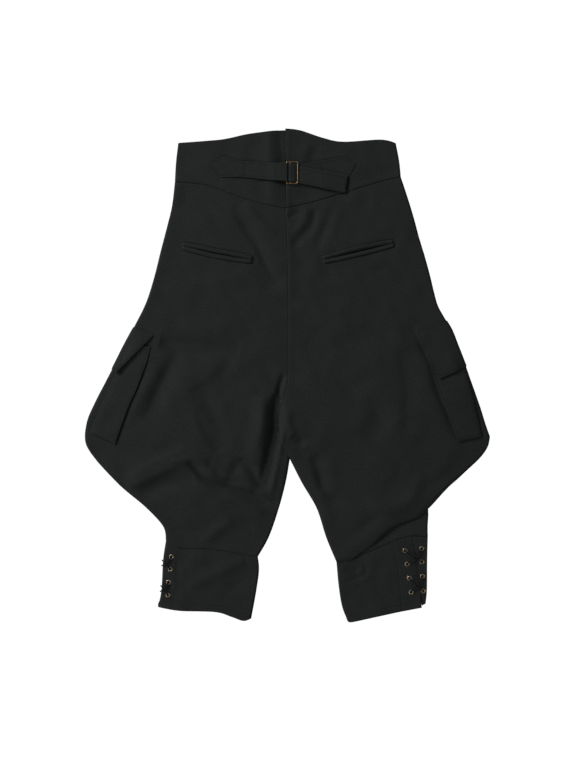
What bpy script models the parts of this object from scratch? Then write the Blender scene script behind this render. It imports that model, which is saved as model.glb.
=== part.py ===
"""Laced breeches laid flat on their front, with the back uppermost.

The frame: +X to the right as seen from above, +Y towards the waist, +Z up, and the origin on the
floor under the middle. Tables and sizes are in millimetres; meshes are made in metres.
The front panels lie on the floor. The back panels lie over them, roll down to the floor along the
side edges and inseams, and swell over the seat and the wide thighs.
"""

import bmesh
import bpy
import numpy as np

MM = 0.001

# Cloth sizes
WALL = 1.4  # woollen cloth, felted and pressed
TRIM_WALL = 1.2  # pockets, flaps and welts
SEAM_GAP = 0.3
CUFF_SEAM_GAP = 1.0  # where the right shin and cuff share a seam but not their sections
PLAIN_HEIGHT = 4.6  # upper face of a back panel where it lies plain on the front
LEAST_HEIGHT = 3.5
EDGE_LOW = 1.6  # where the rolled edge of a back panel ends above the floor
LIP_LOW = 6.4  # where the right thigh ends above the shin that it hangs over
LIP_REACH = 30.0  # stretch along the edges over which one ending turns into the other
ROLL_LEAST = 4.0  # reach of a rolled edge, at least
ROLL_SHARE = 0.8  # and as a share of the cloth's height
FRONT_INSET = 3.0  # how far the front panels stay inside the rolled edge

# Distances from a panel's edge at which it has a column or a section
EDGE_COLUMNS = (0, 1.1, 3.2, 6.8, 12)
SEAM_COLUMNS = (0, 1.1, 3.4, 9)
LIP_SECTIONS = (11, 5.5, 2.4, 0.9)
THIGH_LENGTH = 460.0  # of the right thigh's panel, from yoke to lip

# Columns of a section: side x, side y, inner x, inner y
YOKE_LEFT = (
    (-194, 413, -3, 436),
    (-198, 379, -2, 368),
    (-200, 344, -2, 297),
)
YOKE_RIGHT = (
    (194, 413, -3, 439),
    (200, 382, -2, 368),
    (203, 353, -2, 297),
)
LEG_LEFT = (
    (-200, 344, -2, 297),
    (-205, 302, 0, 240),
    (-213, 268, 1, 190),
    (-225, 222, 2, 134),
    (-237, 174, 2, 90),
    (-251, 130, 2, 45),
    (-270, 91, 2, 10),
    (-289, 56, 1, -15),
    (-307, 20, -4, -38),
    (-325, -15, -12, -62),
    (-342, -48, -15, -85),
    (-357, -84, -13, -105),
    (-359, -122, -8, -127),
    (-338, -155, 5, -150),
    (-297, -198, -2, -190),
    (-252, -236, -14, -236),
    (-221, -270, -32, -288),
    (-216, -296, -52, -324),
)
THIGH_RIGHT = (
    (203, 353, -2, 297),
    (215, 317, 0, 240),
    (226, 281, 1, 190),
    (236, 244, 2, 134),
    (246, 211, 2, 90),
    (255, 178, 2, 45),
    (262, 149, 2, 10),
    (269, 124, 1, -15),
    (281, 102, -4, -38),
    (294, 80, -12, -62),
    (303, 57, -15, -85),
    (311, 36, -13, -105),
    (319, 16, -8, -127),
    (327, -7, 5, -150),
    (337, -35, 27, -193),
    (346, -61, 53, -238),
    (354, -87, 70, -290),
    (362, -110, 88, -333),
)
NOTCH = 13  # the section where the seat seam ends and the inseams part
SHIN_RIGHT = (
    (251.5, -232, 81, -306),
    (252, -250, 84.5, -314),
    (251, -268, 87, -322),
    (251, -289, 88, -331),
)
CUFF_LEFT = (
    (-216, -296, -52, -324),
    (-221, -330, -50, -350),
    (-224, -383, -57, -398),
    (-230, -413, -64, -434),
)
# Columns: slit x, slit y, inner x, inner y
CUFF_RIGHT = (
    (223, -288, 88, -331),
    (231, -330, 92, -375),
    (237, -383, 98, -412),
    (240, -414, 108, -438),
)
# Columns: inner x, inner y, outer edge x, outer edge y, slit x, slit y
CUFF_FRONT_RIGHT = (
    (90, -331, 251, -289, 223.6, -288),
    (94, -375, 250, -330, 231.6, -330),
    (100, -412, 249.5, -383, 237.6, -383),
    (110, -436, 247, -408, 240.6, -411),
)

# Seams and free edges that bow between the ends of a section: x, y
WAIST_LEFT = ((-194, 413), (-119, 419), (-71, 429), (-25, 435), (-3, 436))
WAIST_RIGHT = ((-3, 439), (23, 436), (64, 422), (100, 415), (166, 419), (194, 413))
YOKE_SEAM_LEFT = ((-200, 344), (-143, 338), (-96, 321), (-48, 306), (-2, 297))
YOKE_SEAM_RIGHT = ((-2, 297), (46, 308), (112, 328), (166, 344), (203, 353))
CUFF_SEAM_LEFT = ((-216, -296), (-191, -309), (-143, -310), (-96, -317), (-52, -324))
CUFF_SEAM_RIGHT = ((88, -331), (126, -324), (189, -297), (224, -287), (251, -289))
HEM_LEFT = ((-230, -413), (-191, -420), (-128, -422), (-98, -431), (-78, -438), (-64, -434))
HEM_RIGHT = ((108, -438), (116, -440), (157, -431), (201, -422), (240, -414))
LIP = ((88, -333), (112, -329), (130, -316), (153, -303), (171, -286), (196, -268), (232, -254), (255, -235))
WING_UNDER = ((255, -235), (290, -198), (322, -169), (345, -147), (358, -128), (362, -110))
SHIN_TOP = ((81, -306), (100, -307), (124, -303), (146, -290), (165, -273), (192, -256), (226, -245), (251.5, -232))
FRONT_YOKE_SEAM = ((-197, 344), (-100, 332), (0, 322), (100, 336), (200, 353))
FRONT_WAIST = ((-191, 410), (-100, 405), (0, 401), (100, 406), (191, 410))
FRONT_CROTCH = ((0, 40), (0, -60), (0.8, -137))
FLY = ((0, 46), (-20, 50), (-32, 66), (-36, 90), (-36, 326))

# Columns: x, y, radius along x, radius along y, height of the swelling
SWELLS = (
    (-100, 200, 90, 120, 2.2),
    (100, 200, 90, 120, 2.2),
    (-190, -70, 115, 115, 7.0),
    (190, -80, 125, 125, 7.5),
    (-40, -90, 70, 70, 4.5),
    (40, -90, 60, 80, 3.5),
    (-120, -215, 90, 55, 4.0),
    (165, -255, 95, 60, 4.2),
)
# Columns: what it is, its path, half width, height (below zero for a trough)
FOLDS = (
    ("pleat under the cinch", ((-22, 430), (-21, 362), (-15, 300)), 11, -1.6),
    ("fold over the centre", ((12, 432), (11, 362), (6, 300)), 13, 2.2),
    ("trough right of the cinch", ((59, 412), (38, 385)), 9, -1.2),
    ("left seat trough", ((-96, 306), (-71, 262), (-48, 226), (-18, 183)), 10, -2.2),
    ("right seat trough", ((89, 292), (59, 237)), 10, -2.2),
    ("right seat dimple", ((23, 290), (36, 249)), 9, -2.0),
    ("below the left hip", ((-217, 55), (-155, 46), (-93, 41)), 14, -3.8),
    ("down the left thigh", ((-208, 27), (-238, -22), (-257, -75)), 13, -4.4),
    ("short left trough", ((-160, -18), (-132, -70), (-110, -134)), 16, -3.4),
    ("crotch valley", ((-17, -22), (-25, -60), (-25, -105), (-33, -150), (-43, -198)), 9, -11.0),
    ("bank of the valley", ((-50, -50), (-54, -110), (-62, -150)), 18, 3.0),
    ("long left ridge", ((-285, -200), (-222, -167), (-173, -151), (-142, -160)), 13, 6.4),
    ("under the long ridge", ((-262, -215), (-215, -195), (-165, -184)), 13, -3.4),
    ("left knee trough", ((-136, -166), (-118, -196), (-71, -223), (-36, -226)), 10, -6.0),
    ("left knee ridge", ((-112, -158), (-82, -188), (-54, -212)), 12, 5.4),
    ("left inner trough", ((-84, -150), (-62, -172), (-48, -205)), 8, -4.0),
    ("right thigh trough", ((207, 45), (222, -20), (219, -93)), 15, -4.4),
    ("right middle trough", ((170, -40), (160, -82), (148, -120)), 22, -2.8),
    ("right crotch dimple", ((8, -108), (32, -126)), 9, -3.2),
    ("right inner trough", ((48, -132), (62, -192)), 10, -4.2),
    ("curve above the lip", ((242, -172), (216, -222), (170, -236), (146, -214)), 13, 3.0),
    ("swell of the lip", ((80, -338), (110, -316), (150, -284), (190, -250), (240, -224), (300, -170)), 17, 4.5),
)
CUFF_FOLDS = (
    ("left cuff, upper", ((-178, -335), (-143, -322)), 12, 1.2),
    ("left cuff, lower", ((-173, -387), (-125, -362), (-71, -338)), 13, 1.6),
    ("right cuff, upper", ((96, -339), (122, -350)), 8, 1.2),
    ("right cuff, lower", ((137, -345), (134, -360), (106, -371)), 8, 1.3),
    ("across the right shin", ((84, -322), (122, -312), (168, -286), (256, -252)), 20, -0.6),
)

# Pockets: columns as in a section, from the mouth down
POCKET_LEFT = (
    (-281, 56, -243, 50),
    (-293, 30, -249, 24),
    (-305, 4, -257, 2),
    (-317, -24, -268, -28),
    (-330, -54, -281, -56),
    (-341, -79, -293, -88),
    (-351, -103, -306, -124),
)
POCKET_RIGHT = (
    (306, 42, 252, 24),
    (314, 18, 260, 2),
    (323, -8, 267, -20),
    (331, -36, 277, -46),
    (338, -66, 288, -72),
    (343, -88, 297, -96),
    (348, -110, 306, -119),
)
FLAP_LEFT = (
    (-273, 85, -237, 71),
    (-283, 67, -253, 55),
    (-293, 48, -270, 38),
    (-302, 30, -287, 20),
    (-311, 12, -303, 3),
)
FLAP_RIGHT = (
    (285, 96, 228, 77),
    (294, 80, 239, 56),
    (302, 60, 250, 35),
    (311, 37, 260, 14),
    (319, 16, 271, -7),
)
# Welt pockets: the slit's path, and how far it gapes in the middle
WELTS = {
    "left": (((-186, 230), (-125, 216), (-62, 205)), 1.6),
    "right": (((64, 205), (125, 220), (190, 235)), 2.6),
}
WELT_WIDTH = 5.5
WELT_LIFT = 2.0  # outer face of a welt's edges over the panel
WELT_CROWN = 0.7  # and of its middle over its edges

# How far the outer faces of pockets and flaps stand over the panel
POCKET_LIFT, POCKET_FULLNESS = 1.6, 2.6
FLAP_LIFT, FLAP_STAND = 1.9, 4.2
FLAP_CURL = {"left": 3.0, "right": 0.8}

# The cinch: columns are upper x, upper y, lower x, lower y, height over the yoke
BUCKLE_HEIGHT = 6.6  # bar centres over the plain yoke
BAR_LEFT, BAR_MIDDLE, BAR_RIGHT = -1.0, 5.5, 19.0
BUCKLE_TOP, BUCKLE_FOOT = 379.0, 340.5
BUCKLE_CORNER = 2.6
WIRE = 1.0  # radius of the buckle's wire
TURN = WIRE + SEAM_GAP + TRIM_WALL / 2  # radius of a strap's middle where it turns round a bar
# Columns: upper y, lower y, where each strap turns
LEFT_TURN, RIGHT_TURN = (376.5, 345.5), (374.3, 344.5)
LEFT_RETURN_X = -9.0  # how far the left tab runs back under itself
TAB_LEFT = (
    (-134.5, 375.5, -134, 374, 1.3),
    (-127, 381.5, -128, 365, 1.3),
    (-114, 390, -118, 352, 1.3),
    (-101, 385.5, -102, 352.5, 1.3),
    (-86, 381, -86, 353, 1.6),
    (-58, 379, -58, 350.5, 2.4),
    (-34, 377.5, -34, 348, 4.4),
    (-18, 376.8, -18, 346.5, 7.4),
)
TAB_RIGHT = (
    (122.5, 375, 122, 373.5, 1.3),
    (113, 381, 116, 364, 1.3),
    (101, 388, 110, 353, 1.3),
    (86, 385.5, 92, 351, 1.3),
    (68, 382, 68, 349.5, 1.5),
    (45, 377.5, 45, 347.5, 2.2),
    (27, 375, 27, 346, 3.0),
    (19, 374.5, 19, 345.5, 3.05),
    (11, 374.5, 11, 345.5, 4.0),
)
TAIL = (
    (11, 373, 11, 343.5, 7.4),
    (19, 371.5, 19, 342, 4.65),
    (27, 370, 27, 340.5, 4.9),
    (45, 366.5, 45, 337, 5.2),
    (68, 362, 67, 332, 5.2),
    (90, 357.6, 86, 328, 5.0),
    (108, 354, 103.5, 324.5, 4.8),
)

# Eyelets and laces: x, y down each column
EYELETS_LEFT = ((-206, -324), (-208, -346), (-211, -369), (-212, -392))
EYELETS_RIGHT = ((210, -313), (214, -337), (218, -362), (221, -387))
EYELETS_FRONT = ((240, -309), (240.5, -333), (241.3, -358.5), (243, -385))
BARREL_BORE, BARREL, FLANGE = 2.05, 2.6, 4.2
FLANGE_RISE = 0.9
HOLE = 2.9
LACE = 1.0  # radius
LACE_RISE = SEAM_GAP + FLANGE_RISE + LACE + 0.35  # middle of a lace where it clears a flange
LACE_CROSS = 2 * LACE + SEAM_GAP  # between the middles of two laces that cross
EYELET_STEPS = 10

CLOTH_BLACK = (0.017, 0.018, 0.018)
LACE_BLACK = (0.010, 0.010, 0.011)
OLD_BRASS = (0.42, 0.29, 0.15)


# Curves and distances

def spline(rows, t, corner=None):
    """Smooth curve through the rows of a table, read at the row numbers t, with a corner at one row."""
    rows = np.asarray(rows, float)
    last = len(rows) - 1
    i = np.minimum(np.asarray(t).astype(int), last - 1)
    before, after = i - 1, i + 2
    if corner is not None:
        before = np.where(i >= corner, np.maximum(before, corner), before)
        after = np.where(i < corner, np.minimum(after, corner), after)
    p0, p1 = rows[np.maximum(before, 0)], rows[i]
    p2, p3 = rows[i + 1], rows[np.minimum(after, last)]
    f = (t - i)[:, None]
    return 0.5 * (2 * p1 + (p2 - p0) * f + (2 * p0 - 5 * p1 + 4 * p2 - p3) * f**2
                  + (3 * p1 - p0 - 3 * p2 + p3) * f**3)


def dense(rows, steps=4, corner=None):
    count = (len(rows) - 1) * steps + 1
    return spline(rows, np.linspace(0, len(rows) - 1, count), corner)


def smooth_step(value):
    value = np.clip(value, 0, 1)
    return value * value * (3 - 2 * value)


def distance_and_place(x, y, path):
    """Distance of each point from a path, and how far along the path (0 to 1) its nearest point is."""
    start, run = path[:-1], np.diff(path, axis=0)
    length = np.maximum(np.hypot(run[:, 0], run[:, 1]), 1e-6)
    travelled = np.concatenate([[0], np.cumsum(length)[:-1]])
    dx, dy = x[..., None] - start[:, 0], y[..., None] - start[:, 1]
    along = np.clip((dx * run[:, 0] + dy * run[:, 1]) / length**2, 0, 1)
    away = np.hypot(dx - along * run[:, 0], dy - along * run[:, 1])
    nearest = away.argmin(-1)[..., None]
    place = np.take_along_axis(travelled + along * length, nearest, -1)[..., 0] / length.sum()
    return away.min(-1), place


def column(rows, first):
    return [row[first:first + 2] for row in rows]


SIDE_LEFT = np.vstack([dense(column(YOKE_LEFT, 0)), dense(column(LEG_LEFT, 0)), dense(column(CUFF_LEFT, 0))])
INSEAM_LEFT = np.vstack([dense(column(LEG_LEFT[NOTCH:], 2)), dense(column(CUFF_LEFT, 2))])
SIDE_RIGHT = np.vstack([dense(column(YOKE_RIGHT, 0)), dense(column(THIGH_RIGHT, 0)), dense(WING_UNDER)[::-1]])
SHIN_SIDE = dense(column(SHIN_RIGHT, 0))
INSEAM_RIGHT = dense(column(THIGH_RIGHT[NOTCH:], 2))
SHIN_INSEAM = np.vstack([dense(column(SHIN_RIGHT, 2)), dense(column(CUFF_RIGHT, 2))])
LIP_PATH = dense(LIP)


# Heights of the cloth's upper face

def fold_height(x, y, folds):
    """Sum of soft ridges and troughs, each deepest half way along its path."""
    total = np.zeros_like(x)
    for _, path, width, height in folds:
        away, place = distance_and_place(x, y, dense(path))
        total += height * np.exp(-(away / width) ** 2) * np.sqrt(np.clip(4 * place * (1 - place), 0, 1))
    return total


def full_height(x, y, swollen):
    height = np.full_like(x, PLAIN_HEIGHT)
    if swollen:
        for sx, sy, rx, ry, rise in SWELLS:
            height += rise * np.exp(-((x - sx) / rx) ** 2 - ((y - sy) / ry) ** 2)
        height += fold_height(x, y, FOLDS)
    else:
        height += fold_height(x, y, CUFF_FOLDS)
    return np.maximum(height, LEAST_HEIGHT)


def rolled(height, low, away):
    """Quarter of an ellipse from the low end at an edge up to the full height."""
    reach = np.maximum(ROLL_LEAST, ROLL_SHARE * height)
    part = np.clip((away - WALL / 4) / reach, 0, 1)
    return low + (height - low) * np.sqrt(1 - (1 - part) ** 2)


def cloth_height(x, y, edges, swollen=True, lip=False):
    """Upper face of a back panel at x, y, rolled down along the named edges."""
    height = full_height(x, y, swollen)
    low = np.full_like(x, EDGE_LOW)
    top = height.copy()
    if lip:
        to_lip, _ = distance_and_place(x, y, LIP_PATH)
        low += (LIP_LOW - EDGE_LOW) * smooth_step(1 - to_lip / LIP_REACH)
        top = np.minimum(top, rolled(height, LIP_LOW, to_lip))
    for edge in edges:
        away, _ = distance_and_place(x, y, edge)
        top = np.minimum(top, rolled(height, low, away))
    return top


# Grids of points

def columns_across(width, near_first, near_last, middle):
    """Fractions across each section: at set distances from its two ends, and even in between."""
    first = np.asarray(near_first)[None, :] / width[:, None]
    last = 1 - np.asarray(near_last)[None, ::-1] / width[:, None]
    even = np.linspace(0, 1, middle + 2)[None, 1:-1]
    between = first[:, -1:] * (1 - even) + last[:, :1] * even
    return np.hstack([first, between, last])


def bow(points, u, nearness, ends, curve, power=4):
    """Moves the first or last sections onto a curved seam, less and less further away."""
    line = dense(curve)
    (x0, y0), (x1, y1) = ends
    chord_x, chord_y = x0 + (x1 - x0) * u, y0 + (y1 - y0) * u
    points[..., 1] += (np.interp(chord_x, line[:, 0], line[:, 1]) - chord_y) * nearness[:, None] ** power


def section_grid(rows, steps, across, first_curve=None, last_curve=None, corner=None, last_rows=()):
    """Points x, y of a panel, section by section; across gives the distances kept near both ends."""
    t = np.linspace(0, 1, (len(rows) - 1) * steps + 1)
    if last_rows:
        t = np.concatenate([t[:-1], 1 - np.asarray(last_rows), [1.0]])
    ends = spline(rows, t * (len(rows) - 1), corner)
    width = np.hypot(ends[:, 2] - ends[:, 0], ends[:, 3] - ends[:, 1])
    u = columns_across(width, *across)
    points = ends[:, None, :2] * (1 - u[..., None]) + ends[:, None, 2:] * u[..., None]
    corners = (rows[0][:2], rows[0][2:4]), (rows[-1][:2], rows[-1][2:4])
    if first_curve is not None:
        bow(points, u, 1 - t, corners[0], first_curve)
    if last_curve is not None:
        bow(points, u, t, corners[1], last_curve)
    return points


def pull_back(points, first_row=True, last_row=True, last_column=False, gap=SEAM_GAP):
    """Half a seam gap off each edge that meets another piece."""
    def pulled(edge, inner):
        way = inner - edge
        return edge + gap / 2 * way / np.linalg.norm(way, axis=-1, keepdims=True)

    if first_row:
        points[0] = pulled(points[0], points[1])
    if last_row:
        points[-1] = pulled(points[-1], points[-2])
    if last_column:
        points[:, -1] = pulled(points[:, -1], points[:, -2])
    return points


def with_height(points, height):
    return np.dstack([points, height])


def moved_out(surface, lift):
    """A grid of points that lies on a panel, moved out along its own normals."""
    across = np.gradient(surface, axis=1)
    along = np.gradient(surface, axis=0)
    normal = np.cross(along, across)
    normal *= np.sign(normal[..., 2:].sum()) / np.linalg.norm(normal, axis=-1, keepdims=True)
    return surface + normal * lift[..., None]


# Objects

def material(name, colour, roughness, metallic=0.0):
    made = bpy.data.materials.new(name)
    made.use_nodes = True
    shader = made.node_tree.nodes["Principled BSDF"]
    shader.inputs["Base Color"].default_value = (*colour, 1)
    shader.inputs["Roughness"].default_value = roughness
    shader.inputs["Metallic"].default_value = metallic
    made.diffuse_color = (*colour, 1)
    return made


def place(name, data, surface, collection, location=(0, 0, 0)):
    made = bpy.data.objects.new(name, data)
    made.location = [MM * value for value in location]
    data.materials.append(material(name, *surface))
    collection.objects.link(made)
    return made


CLOTH = (CLOTH_BLACK, 0.92)
CORD = (LACE_BLACK, 0.8)
METAL = (OLD_BRASS, 0.42, 1.0)


def cloth_piece(name, points, collection, wall=WALL, centred=False, face_up=(0, 0)):
    """A wall of cloth: a grid of points made a surface, then given its thickness inwards."""
    rows, cols = points.shape[:2]
    index = np.arange(rows * cols).reshape(rows, cols)
    quads = np.stack([index[:-1, :-1], index[1:, :-1], index[1:, 1:], index[:-1, 1:]], -1).reshape(-1, 4)
    at = points[face_up[0]:, face_up[1]:]
    if np.cross(at[1, 0] - at[0, 0], at[0, 1] - at[0, 0])[2] < 0:
        quads = quads[:, ::-1]
    mesh = bpy.data.meshes.new(name)
    mesh.from_pydata((points.reshape(-1, 3) * MM).tolist(), [], quads.tolist())
    mesh.shade_smooth()
    made = place(name, mesh, CLOTH, collection)
    shell = made.modifiers.new("wall", "SOLIDIFY")
    shell.thickness = wall * MM
    shell.offset = 0 if centred else -1
    return made


def flat_piece(name, outline, collection):
    """A front panel: a flat outline with the cloth's thickness, lying on the floor."""
    curve = bpy.data.curves.new(name, "CURVE")
    curve.dimensions = "2D"
    curve.fill_mode = "BOTH"
    curve.extrude = WALL / 2 * MM
    line = curve.splines.new("POLY")
    line.points.add(len(outline) - 1)
    line.points.foreach_set("co", np.column_stack(
        [np.asarray(outline) * MM, np.zeros(len(outline)), np.ones(len(outline))]).ravel())
    line.use_cyclic_u = True
    return place(name, curve, CLOTH, collection, (0, 0, WALL / 2))


def cord(name, points, radius, surface, collection, cyclic=False):
    curve = bpy.data.curves.new(name, "CURVE")
    curve.dimensions = "3D"
    curve.bevel_depth = radius * MM
    curve.bevel_resolution = 2
    curve.use_fill_caps = not cyclic
    line = curve.splines.new("POLY")
    line.points.add(len(points) - 1)
    line.points.foreach_set("co", np.column_stack([np.asarray(points) * MM, np.ones(len(points))]).ravel())
    line.use_cyclic_u = cyclic
    return place(name, curve, surface, collection)


# Back panels

def back_panels(collection):
    across_leg = (EDGE_COLUMNS, SEAM_COLUMNS, 10)
    left_edges, right_edges = (SIDE_LEFT, INSEAM_LEFT), (SIDE_RIGHT, INSEAM_RIGHT)

    def add(name, points, edges, **options):
        height = cloth_height(points[..., 0], points[..., 1], edges, **options)
        return cloth_piece(name, with_height(points, height), collection)

    yoke = section_grid(YOKE_LEFT, 3, across_leg, WAIST_LEFT, YOKE_SEAM_LEFT)
    add("back_yoke_left", pull_back(yoke, first_row=False, last_column=True), left_edges)
    yoke = section_grid(YOKE_RIGHT, 3, across_leg, WAIST_RIGHT, YOKE_SEAM_RIGHT)
    add("back_yoke_right", pull_back(yoke, first_row=False, last_column=True), right_edges)

    leg = section_grid(LEG_LEFT, 2, across_leg, YOKE_SEAM_LEFT, CUFF_SEAM_LEFT, NOTCH)
    add("back_left", pull_back(leg, last_column=True), left_edges)
    near_lip = [away / THIGH_LENGTH for away in LIP_SECTIONS]
    thigh = section_grid(THIGH_RIGHT, 2, across_leg, YOKE_SEAM_RIGHT, LIP + WING_UNDER[1:], NOTCH, near_lip)
    add("back_right", pull_back(thigh, last_row=False, last_column=True), right_edges, lip=True)

    across_shin = (EDGE_COLUMNS[:4], (0, 2.2, 5), 7)
    shin = section_grid(SHIN_RIGHT, 2, across_shin, SHIN_TOP, CUFF_SEAM_RIGHT)
    add("back_shin_right", pull_back(shin, first_row=False), (SHIN_SIDE, SHIN_INSEAM), swollen=False)


def cuffs(collection, cutters):
    across = (EDGE_COLUMNS, SEAM_COLUMNS, 10)
    left = pull_back(section_grid(CUFF_LEFT, 2, across, CUFF_SEAM_LEFT, HEM_LEFT), last_row=False)
    height = cloth_height(left[..., 0], left[..., 1], (SIDE_LEFT, INSEAM_LEFT), swollen=False)
    left_cuff = cloth_piece("cuff_back_left", with_height(left, height), collection)
    across = ((0, 8), EDGE_COLUMNS[:4], 7)
    right = section_grid(CUFF_RIGHT, 3, across, CUFF_SEAM_RIGHT, HEM_RIGHT)
    right = pull_back(right, last_row=False, gap=CUFF_SEAM_GAP)
    height = cloth_height(right[..., 0], right[..., 1], (SHIN_INSEAM,), swollen=False)
    right_cuff = cloth_piece("cuff_back_right", with_height(right, height), collection)
    wrapped = wrapped_cuff(collection)
    punched(left_cuff, EYELETS_LEFT, cutters)
    punched(right_cuff, EYELETS_RIGHT, cutters)
    punched(wrapped, EYELETS_FRONT, cutters)


def wrapped_cuff(collection):
    """The right front cuff: flat on the floor, round the outer edge and on top as far as the slit."""
    radius = PLAIN_HEIGHT / 2
    rows = dense(CUFF_FRONT_RIGHT, 2)
    inner, edge, slit = rows[:, 0:2], rows[:, 2:4], rows[:, 4:6]
    inward = inner - edge
    inward /= np.linalg.norm(inward, axis=1, keepdims=True)
    floor_end, floor_start = inner - inward * FRONT_INSET, edge + inward * radius
    stations = []
    for share in (0, 1 / 3, 2 / 3):
        stations.append((floor_end + (floor_start - floor_end) * share, 0.0))
    for angle in np.radians(np.linspace(-90, 90, 7)):
        stations.append((edge + inward * radius * (1 - np.cos(angle)), radius * (1 + np.sin(angle))))
    for share in (1 / 2, 1):
        stations.append((floor_start + (slit - floor_start) * share, PLAIN_HEIGHT))
    points = np.stack([np.column_stack([xy, np.full(len(xy), z)]) for xy, z in stations], 1)
    points = pull_back(points, last_row=False, gap=CUFF_SEAM_GAP)
    return cloth_piece("cuff_front_right", points, collection, face_up=(0, len(stations) - 2))


def punched(cuff, places, cutters):
    """Holes through the upper wall of a cuff, one for each eyelet."""
    form = bmesh.new()
    for x, y in places:
        made = bmesh.ops.create_cone(form, cap_ends=True, segments=EYELET_STEPS, radius1=HOLE * MM,
                                     radius2=HOLE * MM, depth=4 * WALL * MM)
        bmesh.ops.translate(form, verts=made["verts"], vec=(x * MM, y * MM, PLAIN_HEIGHT * MM))
    mesh = bpy.data.meshes.new(cuff.name + "_holes")
    form.to_mesh(mesh)
    form.free()
    cutter = bpy.data.objects.new(mesh.name, mesh)
    cutter.hide_render = True
    cutter.display_type = "WIRE"
    cutters.objects.link(cutter)
    cut = cuff.modifiers.new("eyelet holes", "BOOLEAN")
    cut.operation = "DIFFERENCE"
    cut.object = cutter


# Front panels

def inset(path, distance, side):
    """A path moved sideways: side is +1 to the right of its direction, -1 to its left."""
    way = np.gradient(path, axis=0)
    normal = np.column_stack([way[:, 1], -way[:, 0]]) / np.linalg.norm(way, axis=1, keepdims=True)
    return path + normal * distance * side


def between(path, y_top, y_foot):
    return path[(path[:, 1] < y_top) & (path[:, 1] > y_foot)]


def seam_between(curve, x0, x1, shift, count=8):
    line = dense(curve)
    x = np.linspace(x0, x1, count)
    return np.column_stack([x, np.interp(x, line[:, 0], line[:, 1]) + shift])


def front_panels(collection):
    half = SEAM_GAP / 2
    side_l = inset(SIDE_LEFT, FRONT_INSET, -1)[::2]
    wing_r = inset(SIDE_RIGHT, FRONT_INSET, 1)[::2]
    shin_r = inset(SHIN_SIDE, FRONT_INSET, 1)[::2]
    in_l = inset(INSEAM_LEFT, FRONT_INSET, 1)[::2]
    in_r = inset(INSEAM_RIGHT, FRONT_INSET, -1)[::2]
    shin_in_r = inset(SHIN_INSEAM, FRONT_INSET, -1)[::2]
    fly = dense(FLY, 2)
    fly_outer = fly + (-half, -half)
    fly_inner = fly + (half, half)

    fly_x = FLY[-1][0]
    waist_left, waist_right = FRONT_WAIST[0][0], FRONT_WAIST[-1][0]
    hip_left, hip_right = FRONT_YOKE_SEAM[0][0], FRONT_YOKE_SEAM[-1][0]
    crotch = np.array(FRONT_CROTCH)
    cuff_left = np.array(((-55, -324), (-213, -296)))
    cuff_right = np.array(((247, -288.4), (92.5, -329)))

    flat_piece("front_yoke_left", np.vstack([
        seam_between(FRONT_WAIST, waist_left, -half, 0),
        seam_between(FRONT_YOKE_SEAM, -half, hip_left, half)]), collection)
    flat_piece("front_yoke_right", np.vstack([
        seam_between(FRONT_WAIST, half, waist_right, 0),
        seam_between(FRONT_YOKE_SEAM, hip_right, half, half)]), collection)
    flat_piece("fly_placket", np.vstack([
        seam_between(FRONT_YOKE_SEAM, fly_x + half, -half, -half, 3),
        [(-half, FLY[0][1])],
        between(fly_inner[1:], 320, 0)]), collection)
    flat_piece("front_left", np.vstack([
        seam_between(FRONT_YOKE_SEAM, hip_left, fly_x - half, -half, 6),
        between(fly_outer[::-1], 320, 0),
        crotch - (half, 0),
        between(in_l, -152, -322),
        cuff_left + (0, half),
        between(side_l, 340, -295)[::-1]]), collection)
    flat_piece("front_right", np.vstack([
        seam_between(FRONT_YOKE_SEAM, half, hip_right, -half, 7),
        between(wing_r, 350, -228),
        between(shin_r, -230, -287),
        cuff_right,
        between(shin_in_r, -307, -327)[::-1],
        between(in_r, -152, -298)[::-1],
        crotch[:0:-1] + (half, 0)]), collection)
    hem = dense(HEM_LEFT, 2) + (0, FRONT_INSET)
    flat_piece("cuff_front_left", np.vstack([
        cuff_left[::-1] - (0, half),
        between(in_l, -326, -428),
        hem[1:-1][::-1],
        between(side_l, -298, -408)[::-1]]), collection)


# Pockets, flaps and welts

def on_panel(rows, steps, across, edges, lip=False):
    points = section_grid(rows, steps, across)
    return with_height(points, cloth_height(points[..., 0], points[..., 1], edges, lip=lip))


def cargo_pocket(name, rows, edges, collection):
    """A patch pocket: low at its edges, full in the middle and low again at the mouth."""
    surface = on_panel(rows, 1, ((0, 2.5, 8), (0, 2.5, 8), 2), edges)
    count = surface.shape[0]
    down = smooth_step(np.arange(count) / 3.0)
    across = np.array([0, 0.55, 0.9, 1, 1, 0.9, 0.55, 0])
    foot = np.ones(count)
    foot[-1] = 0
    lift = POCKET_LIFT + POCKET_FULLNESS * down[:, None] * across[None, :] * foot[:, None]
    cloth_piece(name, moved_out(surface, lift), collection, TRIM_WALL)


def cargo_flap(name, rows, edges, curl, collection):
    """A flap sewn along its top that stands off the pocket below."""
    surface = on_panel(rows, 2, ((0, 1.2, 3.5, 8), (0,), 3), edges)
    down = np.linspace(0, 1, surface.shape[0])[:, None]
    inner = np.array([0, 0.15, 0.45, 0.9, 1, 1, 1, 1])[None, :]
    edge = np.array([0, 0, 0, 0, 0.1, 0.3, 0.6, 1])[None, :]
    lift = FLAP_LIFT + FLAP_STAND * down * inner + curl * edge * np.sqrt(down)
    cloth_piece(name, moved_out(surface, lift), collection, TRIM_WALL)


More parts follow.
